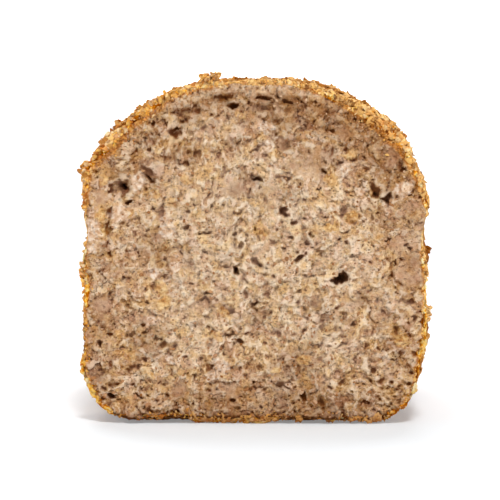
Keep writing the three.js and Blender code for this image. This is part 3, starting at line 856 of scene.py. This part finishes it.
def build_granules(name, material, places, normals, sizes, seed):
    """Joined lumps of baked dough, each a ragged ball of twelve points."""
    count = len(places)
    random = np.random.default_rng(seed)
    k = np.arange(5)
    upper, lower = TAU * k / 5, TAU * (k + 0.5) / 5
    high = math.sqrt(0.2)
    wide = 2 * high
    ball = np.vstack([
        [[0, 0, 1]],
        np.stack([wide * np.cos(upper), wide * np.sin(upper), 0 * k + high], -1),
        np.stack([wide * np.cos(lower), wide * np.sin(lower), 0 * k - high], -1),
        [[0, 0, -1]],
    ])
    frames = leaning_frames(normals, LUMP_LEAN, random)
    ragged = random.uniform(0.6, 1.25, (count, 12))
    reach = [random.uniform(*span, (count, 1)) for span in ((0.9, 1.5), (0.6, 1.0), (0.4, 0.8))]
    points = places[:, None]
    for axis, frame_axis in enumerate(frames):
        local = ball[:, axis] * ragged * reach[axis] * sizes[:, None] / 2
        points = points + frame_axis[:, None] * local[..., None]
    points[..., 2] = np.maximum(points[..., 2], 0)
    following = np.roll(k, -1)
    faces = np.concatenate([
        np.stack([0 * k, 1 + k, 1 + following], -1),
        np.stack([1 + k, 6 + k, 1 + following], -1),
        np.stack([1 + following, 6 + k, 6 + following], -1),
        np.stack([6 + k, 0 * k + 11, 6 + following], -1),
    ])
    # The bake map: the ball opened out from its top, with the lowest point once for each face it ends.
    turn = np.concatenate([[0], upper, lower, [0]])
    spread = np.repeat([0, 0.2, 0.36, 0], [1, 5, 5, 1])
    flat = (0.5 + np.stack([spread * np.cos(turn), spread * np.sin(turn)], -1))[faces]
    flat[15:, 1] = 0.5 + 0.47 * np.stack([np.cos(lower + TAU / 10), np.sin(lower + TAU / 10)], -1)
    faces = (faces[None] + 12 * np.arange(count)[:, None, None]).reshape(-1, 3)
    tint = np.clip(random.random(count) + 0.3 * noise(places, 4), 0, 1)
    # Marks each lump's lower half, which the lump materials paint darker as shade under the lump.
    edge = np.tile(np.repeat([0.0, 0.3, 1.0], [1, 5, 6]), count)
    attributes = {"tint": np.repeat(tint, 12), "edge": edge}
    piece = make_mesh(name, points.reshape(-1, 3), [faces], attributes, map_squares(count, flat))
    finish_piece(piece, material, smooth_faces=False)


def build_flakes(name, material, places, normals, sizes, seed):
    """Joined thin ragged flakes."""
    count = len(places)
    random = np.random.default_rng(seed)
    a, b, up = leaning_frames(normals, FLAKE_LEAN, random)
    k = np.arange(FLAKE_SIDES)
    each = (count, FLAKE_SIDES)
    angle = TAU * (k[None, :] + random.uniform(-0.25, 0.25, each)) / FLAKE_SIDES
    ragged = random.uniform(0.72, 1.15, each)
    crown = random.uniform(0.5, 1.1, (count, 1))
    bend = random.uniform(-0.25, 0.3, (count, 1))
    half = sizes[:, None] / 2
    # Rings of the flake: crown, shoulder, edge above and edge below, then the underside's middle.
    rings = []
    for reach, level in ((0.0, 1.0), (0.62, 0.92), (1.0, 0.35), (0.94, -0.6), (0.0, -0.7)):
        corners = FLAKE_SIDES if reach else 1
        ca = np.cos(angle[:, :corners]) * ragged[:, :corners] * reach * half
        cb = np.sin(angle[:, :corners]) * ragged[:, :corners] * reach * half * FLAKE_ASPECT
        height = FLAKE_THICKNESS * level * crown + bend * (ca**2) / half
        if reach:
            height = height + random.normal(0, 0.12 * FLAKE_THICKNESS, (count, corners))
        height = height + FLAKE_LIFT * FLAKE_THICKNESS
        flat = places[:, None] + a[:, None] * ca[..., None] + b[:, None] * cb[..., None]
        rings.append(flat + up[:, None] * height[..., None])
    points = np.concatenate(rings, 1)
    points[..., 2] = np.maximum(points[..., 2], 0)
    per_flake = points.shape[1]
    following = np.roll(k, -1)
    top, bottom = 0 * k, 0 * k + per_flake - 1
    shoulder, edge, under = (1 + ring * FLAKE_SIDES + k for ring in range(3))
    fans = np.concatenate([
        np.stack([top, shoulder, shoulder[following]], -1),
        np.stack([under, bottom, under[following]], -1),
    ])
    bands = np.concatenate([
        np.stack([shoulder, edge, edge[following], shoulder[following]], -1),
        np.stack([edge, under, under[following], edge[following]], -1),
    ])
    shift = (np.arange(count) * per_flake)[:, None, None]
    faces = [(fans[None] + shift).reshape(-1, 3), (bands[None] + shift).reshape(-1, 4)]
    # The bake map: each flake seen from above, with its underside in a corner.
    turn = np.concatenate([[0], *[TAU * k / FLAKE_SIDES] * 3, [0]])
    reach = np.repeat([0, 0.24, 0.38, 0.46, 0], [1, FLAKE_SIDES, FLAKE_SIDES, FLAKE_SIDES, 1])
    around = np.stack([reach * np.cos(turn), reach * np.sin(turn)], -1)
    flat, corner = 0.5 + around, 0.93 + 0.1 * around
    fan_uv = np.concatenate([flat[fans[:FLAKE_SIDES]], corner[fans[FLAKE_SIDES:]]])
    uv = np.concatenate([map_squares(count, part) for part in (fan_uv, flat[bands])])
    tint = np.repeat(random.random(count), per_flake)
    shade = np.tile(np.repeat([0, 0.3, 1], [1, FLAKE_SIDES, 2 * FLAKE_SIDES + 1]), count)
    piece = make_mesh(name, points.reshape(-1, 3), faces, {"tint": tint, "edge": shade}, uv)
    finish_piece(piece, material)


# ---- Materials ----
def srgb(red, green, blue):
    """A linear colour from screen values of 0 to 255."""
    def linear(value):
        value /= 255
        return value / 12.92 if value <= 0.04045 else ((value + 0.055) / 1.055) ** 2.4
    return (linear(red), linear(green), linear(blue), 1)


class Shader:
    """A material under construction: its colour so far, and short names for its nodes.

    Colours are given as screen values of 0 to 255, or as the output of a node.
    """

    def __init__(self, name, roughness, specular):
        self.material = bpy.data.materials.new(name)
        self.material.use_nodes = True
        self.tree = self.material.node_tree
        self.surface = self.tree.nodes["Principled BSDF"]
        self.surface.inputs["Roughness"].default_value = roughness
        self.surface.inputs["Specular IOR Level"].default_value = specular
        self.place = self.vector("SCALE", self.node("ShaderNodeTexCoord").outputs["Object"], scale=1 / MM)
        axes = self.node("ShaderNodeSeparateXYZ")
        self.feed(axes.inputs[0], self.place)
        self.x, self.y, self.z = axes.outputs
        self.colour = None

    def node(self, kind, **settings):
        node = self.tree.nodes.new(kind)
        for key, value in settings.items():
            setattr(node, key, value)
        return node

    def feed(self, socket, value):
        if isinstance(value, bpy.types.NodeSocket):
            self.tree.links.new(value, socket)
        else:
            socket.default_value = value

    def feed_colour(self, socket, colour):
        self.feed(socket, srgb(*colour) if isinstance(colour, tuple) else colour)

    def vector(self, operation, first, second=None, scale=None):
        node = self.node("ShaderNodeVectorMath", operation=operation)
        self.feed(node.inputs[0], first)
        if second is not None:
            self.feed(node.inputs[1], second)
        if scale is not None:
            self.feed(node.inputs["Scale"], scale)
        return node.outputs[0]

    def math(self, operation, first, second):
        node = self.node("ShaderNodeMath", operation=operation)
        self.feed(node.inputs[0], first)
        self.feed(node.inputs[1], second)
        return node.outputs[0]

    def add(self, first, second):
        return self.math("ADD", first, second)

    def times(self, first, second):
        return self.math("MULTIPLY", first, second)

    def attribute(self, name):
        return self.node("ShaderNodeAttribute", attribute_name=name).outputs["Fac"]

    def noise(self, size, detail, rough=0.55, place=None, output="Fac"):
        node = self.node("ShaderNodeTexNoise")
        self.feed(node.inputs["Vector"], self.place if place is None else place)
        node.inputs["Scale"].default_value = 1 / size
        node.inputs["Detail"].default_value = detail
        node.inputs["Roughness"].default_value = rough
        return node.outputs[output]

    def sway(self, noise, amount):
        """A noise moved to swing about 0, over a range of `amount`."""
        return self.times(self.math("SUBTRACT", noise, 0.5), amount)

    def warped(self, size, amount):
        """The place, pushed about by noise of a size."""
        push = self.vector("SUBTRACT", self.noise(size, 1, output="Color"), (0.5, 0.5, 0.5))
        return self.vector("ADD", self.place, self.vector("SCALE", push, scale=amount))

    def dots(self, size, place):
        """Scattered cores: how far the nearest is, and three random values of its own."""
        node = self.node("ShaderNodeTexVoronoi")
        self.feed(node.inputs["Vector"], place)
        node.inputs["Scale"].default_value = 1 / size
        parts = self.node("ShaderNodeSeparateColor")
        self.feed(parts.inputs[0], node.outputs["Color"])
        return node.outputs["Distance"], parts.outputs

    def between(self, value, low, high, low_out=0.0, high_out=1.0):
        node = self.node("ShaderNodeMapRange", interpolation_type="SMOOTHSTEP")
        self.feed(node.inputs["Value"], value)
        node.inputs["From Min"].default_value = low
        node.inputs["From Max"].default_value = high
        node.inputs["To Min"].default_value = low_out
        node.inputs["To Max"].default_value = high_out
        return node.outputs["Result"]

    def stops(self, value, *colours):
        """Colours spread evenly over a value from 0 to 1."""
        node = self.node("ShaderNodeValToRGB")
        self.feed(node.inputs["Fac"], value)
        points = node.color_ramp.elements
        while len(points) < len(colours):
            points.new(0.5)
        for i, (point, colour) in enumerate(zip(points, colours)):
            point.position = i / (len(colours) - 1)
            point.color = srgb(*colour)
        return node.outputs["Color"]

    def mix_in(self, colour, share, blend="MIX"):
        """Mixes a share of another colour into the colour so far."""
        node = self.node("ShaderNodeMix", data_type="RGBA", blend_type=blend, clamp_factor=True)
        self.feed(node.inputs["Factor"], share)
        self.feed_colour(node.inputs[6], self.colour)
        self.feed_colour(node.inputs[7], colour)
        self.colour = node.outputs[2]

    def mix_where(self, value, low, high, most, colour, blend="MIX"):
        """Mixes a colour in where a value passes from `low` to `high`, up to the share `most`."""
        self.mix_in(colour, self.between(value, low, high, 0.0, most), blend)

    def mix_marked(self, name, most, colour):
        """Mixes a colour in where the mesh's attribute says so."""
        self.mix_in(colour, self.times(self.attribute(name), most))

    def done(self, height, distance):
        """Ends the material with its bumps, `distance` high."""
        bump = self.node("ShaderNodeBump")
        bump.inputs["Strength"].default_value = 1.0
        bump.inputs["Distance"].default_value = distance * MM
        self.feed(bump.inputs["Height"], height)
        self.feed(self.surface.inputs["Normal"], bump.outputs["Normal"])
        self.feed_colour(self.surface.inputs["Base Color"], self.colour)
        return self.material


def add_crumb_paste(s):
    """The dough between the pores, in soft patches of oat, golden and cream, and browner dough."""
    s.colour = (220, 182, 148)
    s.mix_in((204, 163, 130), s.between(s.noise(6, 2), 0.38, 0.62))
    tone = s.add(s.attribute("tone"), s.sway(s.noise(2.4, 1), 0.9))
    plates = s.stops(
        s.between(tone, 0.1, 0.95), (176, 122, 74), (216, 176, 140), (222, 180, 122), (208, 156, 90),
        (232, 198, 162), (252, 228, 196),
    )
    s.mix_in(plates, 0.65)
    golden = s.between(s.noise(6.0, 1, 0.5, s.warped(2.4, 2.0)), 0.42, 0.62)
    mottle = s.between(s.noise(2.2, 1), 0.3, 0.7)
    s.mix_in(s.stops(mottle, (200, 146, 82), (220, 174, 110), (238, 200, 142)), s.times(golden, 0.48))
    s.mix_in((146, 94, 48), s.times(s.between(s.noise(1.7, 3, 0.6), 0.56, 0.68), 0.5))


def add_crumb_grain(s):
    """Fine pores painted as dark dots of shade, and small bright specks painted as glints of light; gives
    back where the pores are.
    """
    pores = []
    # Tiny pores painted as dark dots of shade.
    for size, strength in ((1.9, 0.6), (1.0, 0.7)):
        distance, values = s.dots(size, s.warped(0.6, 0.35))
        spread = s.math("DIVIDE", distance, s.add(values[2], 0.4))
        pores.append(s.times(s.between(spread, 0.3, 0.1), s.between(values[0], 0.45, 0.5)))
        s.mix_in((112, 64, 30), s.times(pores[-1], strength))
    # Small bright specks painted as glints of light.
    distance, values = s.dots(1.6, s.warped(0.7, 0.9))
    grain = s.times(s.between(distance, 0.32, 0.1), s.between(values[1], 0.6, 0.7))
    s.mix_in((252, 226, 198), s.times(grain, 0.7))
    fine = s.noise(0.8, 4, 0.7)
    s.mix_where(fine, 0.48, 0.3, 1.0, (162, 140, 108), "MULTIPLY")
    s.mix_where(fine, 0.53, 0.7, 0.7, (255, 228, 194))
    return s.math("MAXIMUM", *pores)


def add_crumb_shades(s):
    """Painted shade in the relief's hollows and painted highlight on its raised places; darker and paler in
    broad patches, denser and darker inside the crust.
    """
    low, from_rim, dense = s.attribute("low"), s.attribute("from_rim"), s.attribute("dense")
    # Painted shade where the surface lies low, painted highlight where it stands up.
    s.mix_where(low, 0.1, 1.0, 0.92, (120, 60, 10))
    s.mix_where(low, -0.08, -0.55, 0.62, (255, 232, 204))
    s.mix_where(s.noise(15, 2), 0.5, 0.72, 0.3, (250, 226, 200))
    s.mix_where(from_rim, 4.0, 40.0, 0.2, (255, 240, 214))
    s.mix_where(s.noise(11, 2), 0.48, 0.72, 0.45, (140, 94, 54))
    # Yellower and pinker from place to place.
    hue = s.noise(4.6, 2, 0.5, s.warped(2.4, 2.2))
    s.mix_where(hue, 0.5, 0.64, 0.7, (255, 240, 206), "MULTIPLY")
    s.mix_where(hue, 0.5, 0.36, 0.6, (250, 234, 230), "MULTIPLY")
    dense = s.add(dense, s.times(s.sway(s.noise(4.5, 3), 1.6), dense))
    s.mix_where(dense, 0.0, 1.2, 0.95, (190, 162, 131), "MULTIPLY")


def add_crumb_rim(s):
    """The browned rim of the crumb, and painted shade in the gap between it and the crust of the base."""
    from_rim = s.attribute("from_rim")
    wander = s.sway(s.noise(2.2, 3), 2.4)
    baked = s.stops(s.between(s.noise(1.1, 3), 0.2, 0.8), (112, 50, 0), (200, 122, 40), (250, 190, 104))
    s.mix_where(s.add(from_rim, wander), 1.2, 0.0, 0.85, baked)
    s.mix_where(s.add(s.z, wander), 5.0, 1.5, 0.65, (112, 56, 14))
    # Painted shade in the dark gap just above the crust of the base.
    gap_shade = s.between(s.add(from_rim, s.times(wander, 0.5)), 1.3, 0.3)
    s.mix_in((66, 28, 4), s.times(gap_shade, s.between(s.z, 5.0, 3.5, 0.0, 0.85)))


def crumb_material():
    s = Shader("oat_crumb", 0.65, 0.08)
    add_crumb_paste(s)
    pores = add_crumb_grain(s)
    mottle = s.between(s.noise(1.4, 3), 0.3, 0.7)
    s.mix_marked("close", 0.65, s.stops(mottle, (170, 126, 94), (206, 166, 134), (216, 178, 146)))
    add_crumb_shades(s)
    s.mix_marked("gold", 0.65, s.stops(mottle, (176, 112, 40), (222, 166, 92), (248, 210, 146)))
    s.mix_marked("cream", 0.7, s.stops(mottle, (206, 158, 122), (242, 208, 178), (255, 238, 220)))
    add_crumb_rim(s)
    # Painted shade inside the pores, near black in the deepest.
    pore_shade = s.attribute("pore_shade")
    s.mix_where(pore_shade, 0.05, 0.8, 0.68, (104, 56, 14))
    s.mix_where(pore_shade, 0.7, 1.0, 0.8, (42, 20, 6))
    height = s.add(s.noise(1.1, 4, 0.62), s.times(s.noise(0.4, 3), 0.6))
    return s.done(s.math("SUBTRACT", height, s.times(pores, 0.7)), 0.82)


def near_cut(s, most=1.0):
    return s.between(s.y, CUT_Y + 14, CUT_Y + 3, 0.0, most)


def add_rim_gap_shade(s):
    """Painted shade in the gaps between the lumps at the cut, most on the right."""
    gaps = s.times(s.between(s.noise(1.8, 2), 0.48, 0.35), s.between(s.x, -20.0, 20.0, 0.35, 1.0))
    s.mix_in((112, 48, 2), s.times(gaps, near_cut(s, 0.75)))


def crust_material():
    s = Shader("baked_crust", 0.85, 0.02)
    fine = s.sway(s.noise(1.3, 4, 0.62, s.warped(2.0, 1.2)), 1.6)
    tone = s.add(s.add(s.attribute("tone"), fine), s.sway(s.noise(12, 2), 1.2))
    tone = s.between(tone, 0.0, 1.05)
    s.colour = s.stops(
        tone, (104, 50, 10), (146, 82, 26), (178, 112, 46), (202, 140, 68), (222, 166, 94), (236, 190, 126),
    )
    # Brighter, more golden close to the cut: painted highlight where the rim is lit from behind.
    rim = s.stops(
        tone, (160, 78, 0), (212, 124, 16), (246, 172, 54), (255, 204, 92), (255, 226, 142), (255, 240, 188),
    )
    s.mix_where(s.y, CUT_Y + 9, CUT_Y + 2, 1.0, rim)
    s.mix_where(s.z, 36.0, 24.0, 0.28, (150, 80, 12))
    relief = s.attribute("relief")
    # Painted shade in the crust's hollows, painted highlight on its raised places.
    s.mix_where(relief, 0.0, -0.7, 0.92, (100, 40, 0))
    s.mix_where(relief, 0.15, 0.8, 0.5, (252, 208, 138))
    # Painted shade in the gaps between the lumps at the cut.
    add_rim_gap_shade(s)
    mottle = s.between(s.noise(1.6, 4), 0.3, 0.7)
    inside = s.stops(mottle, (168, 108, 54), (230, 178, 120), (255, 224, 174))
    s.mix_where(s.attribute("torn"), 0.25, 0.8, 0.6, inside)
    # The underside baked darker, against the tin.
    under = s.between(s.add(s.z, s.sway(s.noise(4, 2), 6.0)), 5.0, 0.5)
    s.mix_in((86, 38, 8), s.times(under, s.between(s.y, CUT_Y + 1, CUT_Y + 4, 0.45, 0.85)))
    return s.done(s.add(s.noise(0.9, 4, 0.62), s.times(s.noise(0.3, 2), 0.4)), 0.6)


def lump_material(name, browned, edge, edge_share, colours, is_crust=True):
    """Flakes and lumps, browned in patches, the lumps with painted shade on their lower halves. Those of the
    crust are paler close to the cut, as painted highlight where the rim is lit from behind, with painted
    shade in the gaps between them.
    """
    s = Shader(name, 0.9, 0.0)
    s.colour = s.stops(s.attribute("tint"), *colours)
    s.mix_in((150, 78, 14), s.times(s.between(s.noise(1.0, 3), 0.3, 0.7), browned))
    # Painted shade on the lower half of each lump; the oat flakes' edges and undersides are made paler
    # instead.
    s.mix_marked("edge", edge_share, edge)
    if is_crust:
        # Painted highlight close to the cut, most on the right.
        s.mix_in((255, 211, 134), s.times(s.between(s.x, -40.0, 10.0, 0.12, 0.42), near_cut(s)))
        add_rim_gap_shade(s)
    s.mix_where(s.z, 36.0, 24.0, 0.2, (150, 80, 12))
    s.mix_where(s.z, 5.0, 0.8, 0.5, (128, 54, 0))
    return s.done(s.noise(0.4, 3, 0.6), 0.25)


# ---- Flakes and lumps of the crust, and grain of the crumb ----
BROWN = (
    (222, 160, 80), (192, 122, 44), (244, 204, 140), (164, 90, 20), (216, 154, 74), (130, 66, 8),
    (236, 188, 116),
)
TOASTED = (
    (246, 168, 58), (255, 224, 156), (216, 122, 18), (255, 234, 186), (140, 60, 0), (255, 206, 108),
    (184, 90, 6),
)
PALE = (
    (200, 160, 124), (224, 188, 152), (208, 166, 126), (182, 138, 102), (230, 198, 162), (150, 104, 66),
    (196, 150, 108),
)


def on_crust(middle, normal):
    """Flakes lie on the top, and thinly down the sides and in the tear."""
    x, z, at_cut = middle[..., 0], middle[..., 2], bell(middle[..., 1], CUT_Y, 5)
    up = ramp(z, 1.0, 14) * (normal[..., 2] > -0.75) * (0.35 + 0.65 * ramp(z, 50, 80))
    bare_top = bell(x, -2, 26) * ramp(z, 90, 100) * at_cut
    return up * (1 - 0.4 * tear_share(middle)) * (1 - bare(z) * at_cut) * (1 - 0.7 * bare_top)


def by_the_cut(middle, normal):
    """Lumps crowd the crust's edge at the cut, most where the crust is thick."""
    x, z, at_cut = middle[..., 0], middle[..., 2], bell(middle[..., 1], CUT_Y, 5)
    turn = np.arctan2(z - MIDDLE[1], x) / TAU
    thick = 0.14 + 1.2 * bell(turn, 0.14, 0.08) + 0.8 * bell(turn, 0.36, 0.06)
    low = 1.1 * bell(z, 0, 3) * (1 - 0.9 * base_gap(x))
    return at_cut * (thick * (1 - 0.93 * bare(z)) + low) + 0.02 * on_crust(middle, normal)


def add_oat_flakes(crust, random):
    places, normals = scattered_places(OAT_FLAKES, 21, crust, on_crust)
    sizes = random.uniform(2.2, 5.2, len(places)) * (1 - 0.4 * bell(places[:, 1], CUT_Y, 5))
    for x, z, size in RIM_FLAKES:
        share = np.array([nearest_share(x, z)])
        edge = rough_outline(share)
        away = edge - inset_outline(share, 1.0)
        normal = placed(away, -0.1)
        places = np.vstack([places, placed(edge + 0.3 * away, CUT_Y + 1.6)])
        normals = np.vstack([normals, normal / np.linalg.norm(normal)])
        sizes = np.append(sizes, size)
    material = lump_material("toasted_oat", 0.35, (250, 208, 136), 0.25, BROWN)
    build_flakes("crust_oat_flakes", material, places, normals, sizes, seed=31)


def add_crust_crumbs(crust, random):
    places, normals = scattered_places(CRUST_CRUMBS, 22, crust, on_crust)
    sizes = 1.1 + 2.0 * random.random(len(places)) ** 2
    material = lump_material("browned_crumb", 0.45, (84, 38, 6), 0.5, BROWN)
    build_granules("crust_crumbs", material, places, normals, sizes, seed=32)


def clump(random, x, z, out, behind, along, deep, count):
    """Places, normals and sizes of one clump's crumbs."""
    share = nearest_share(x, z) + random.uniform(-1.5, 1.5, count) * along / PERIMETER
    edge = rough_outline(share)
    away = edge - inset_outline(share, 1.0)
    edge = edge + away * random.uniform(-0.6, 0.4 + 1.5 * out, count)[:, None]
    places = placed(edge, CUT_Y + behind + random.normal(0, 1, count) * deep)
    ways = placed(away, 0) + random.normal(0, 0.5, (count, 3))
    ways = ways / np.linalg.norm(ways, axis=1, keepdims=True)
    return places, ways, random.uniform(0.9, 2.0, count)


def low_crumbs(random):
    """Lumps of crust along the lower edge, between the gaps."""
    x = random.uniform(-41, 41, LOW_CRUMBS)
    x = x[base_gap(x) < random.uniform(0.1, 0.7, len(x))]
    sizes = random.uniform(1.4, 3.8, len(x))
    y = CUT_Y + random.uniform(0.6, 2.2, len(x))
    places = np.stack([x, y, random.uniform(0.8, 2.2, len(x))], -1)
    return places, np.zeros((len(x), 3)) + [0, 0, 1], sizes


def knife_crumbs(random):
    """Crumbs of crust that the knife left on the cut, close inside the rim."""
    share = random.random(KNIFE_CRUMBS)
    share = share[random.random(KNIFE_CRUMBS) > 0.9 * bare(outline_points(share)[:, 1])]
    thick = np.clip(rim_width(share) - 0.6, 0.05, 3)
    edge = inset_outline(share, rim_width(share) + random.exponential(0.6, len(share)) * thick)
    places = placed(edge, CUT_Y + 0.2 + np.clip(crumb_relief(edge)[0], -0.7, 1.0))
    sizes = 0.5 + 1.1 * random.random(len(share)) ** 2
    return places, np.zeros((len(share), 3)) + [0, -1, 0], sizes


def add_rim_crumbs(crust, random):
    places, normals = scattered_places(RIM_CRUMBS, 23, crust, by_the_cut)
    spread = 2.5 * random.random(len(places)) ** 2.2
    groups = [(places, normals, 0.6 + spread * (0.3 + 0.7 * ramp(places[:, 2], 60, 80)))]
    groups += [clump(random, *values) for values in CLUMPS]
    groups += [low_crumbs(random), knife_crumbs(random)]
    places, normals, sizes = [np.concatenate(parts) for parts in zip(*groups)]
    places[:, 2] = np.maximum(places[:, 2], sizes * 0.6)
    places[:, 1] = np.maximum(places[:, 1], CUT_Y + 0.3)
    material = lump_material("toasted_crumb", 0.2, (140, 58, 0), 0.5, TOASTED)
    build_granules("rim_crumbs", material, places, normals, sizes, seed=33)


def add_cut_grain(random):
    """Loose grain of the crumb on the cut, away from the larger pores."""
    share, ring = random.random(CUT_GRAINS), np.sqrt(random.random(CUT_GRAINS))
    edge = inset_outline(share, rim_width(share) + 0.6)
    at = MIDDLE + (edge - MIDDLE) * ring[:, None]
    depth, looks = crumb_relief(at)
    places = placed(at, CUT_Y + 0.12 + np.clip(depth, -0.6, 1.6))
    places = places[(looks["pore_shade"] < 0.1) & (looks["close"] < 0.5) & (depth < 1.2)]
    normals = np.zeros((len(places), 3)) + [0, -1, 0]
    sizes = 0.5 + 1.2 * random.random(len(places)) ** 2.5
    material = lump_material("crumb_grain", 0.2, (136, 84, 44), 0.35, PALE, is_crust=False)
    build_granules("cut_crumbs", material, places, normals, sizes, seed=34)


def build_loaf():
    build_crumb(crumb_material())
    paint = crust_material()
    crust = [build_collar(paint), *build_crust(paint)]
    random = np.random.default_rng(SIZE_SEED)
    add_oat_flakes(crust, random)
    add_crust_crumbs(crust, random)
    add_rim_crumbs(crust, random)
    add_cut_grain(random)


build_loaf()

# ---- Floor, light and camera ----
STAGE_RADIUS = 3.0
WALL_HEIGHT = 0.4
STAGE_SIDES = 96
AIM = Vector((0, CUT_Y, 55)) * MM
DISTANCE = 900 * MM
AZIMUTH, ELEVATION = math.radians(1.0), math.radians(4.5)
PICTURE_WIDTH = 500
SHIFT_X, SHIFT_Y = -3.5, 3.0  # in pixels of the picture
SENSOR, LENS = 36, 202.8
WHITE = (1, 1, 1, 1)
FLOOR_COLOUR, FLOOR_GLOW = (0.65, 0.675, 0.70, 1), 0.22
WALL_COLOUR, WALL_GLOW = (0.9, 0.9, 0.9, 1), 1.1
WORLD_GLOW = 0.22


def in_scene(name, data):
    item = bpy.data.objects.new(name, data)
    bpy.context.scene.collection.objects.link(item)
    return item


def add_stage(name, points, faces, colour, glow):
    mesh = bpy.data.meshes.new(name)
    mesh.from_pydata(points, [], faces)
    paint = bpy.data.materials.new(name)
    paint.use_nodes = True
    surface = paint.node_tree.nodes["Principled BSDF"]
    surface.inputs["Base Color"].default_value = colour
    surface.inputs["Roughness"].default_value = 0.9
    surface.inputs["Specular IOR Level"].default_value = 0.1
    surface.inputs["Emission Color"].default_value = WHITE
    surface.inputs["Emission Strength"].default_value = glow
    mesh.materials.append(paint)
    stage = in_scene(name, mesh)


def add_sun(name, towards, strength, softness):
    """A soft far light that shines from the direction `towards`."""
    light = bpy.data.lights.new(name, "SUN")
    light.energy = strength
    light.angle = math.radians(softness)
    in_scene(name, light).rotation_euler = Vector(towards).to_track_quat("Z", "Y").to_euler()


turns = [TAU * i / STAGE_SIDES for i in range(STAGE_SIDES)]
circle = [(math.cos(turn) * STAGE_RADIUS, math.sin(turn) * STAGE_RADIUS) for turn in turns]
ends = [(i, (i + 1) % STAGE_SIDES) for i in range(STAGE_SIDES)]
add_stage("floor", [(x, y, 0) for x, y in circle], [tuple(range(STAGE_SIDES))], FLOOR_COLOUR, FLOOR_GLOW)
add_stage(
    "backdrop", [(x, y, z) for z in (0, WALL_HEIGHT) for x, y in circle],
    [(i, j, j + STAGE_SIDES, i + STAGE_SIDES) for i, j in ends], WALL_COLOUR, WALL_GLOW,
)

world = bpy.data.worlds.new("studio")
world.use_nodes = True
world.node_tree.nodes["Background"].inputs["Color"].default_value = WHITE
world.node_tree.nodes["Background"].inputs["Strength"].default_value = WORLD_GLOW
bpy.context.scene.world = world
add_sun("back_light", (-0.1, 0.75, 1.0), 2.3, 45)
add_sun("front_light", (0.1, -0.75, 1.0), 1.95, 10)
for side in (-1, 1):
    add_sun("side_light", (side, 0.1, 0.42), 0.8, 50)

level = math.cos(ELEVATION)
back = Vector((math.sin(AZIMUTH) * level, -math.cos(AZIMUTH) * level, math.sin(ELEVATION)))
lens = bpy.data.cameras.new("camera")
lens.sensor_width = SENSOR
lens.lens = LENS
lens.shift_x = SHIFT_X / PICTURE_WIDTH
lens.shift_y = SHIFT_Y / PICTURE_WIDTH
camera = in_scene("camera", lens)
camera.location = AIM + back * DISTANCE
camera.rotation_euler = back.to_track_quat("Z", "Y").to_euler()
bpy.context.scene.camera = camera
bpy.context.scene.view_settings.view_transform = "Standard"
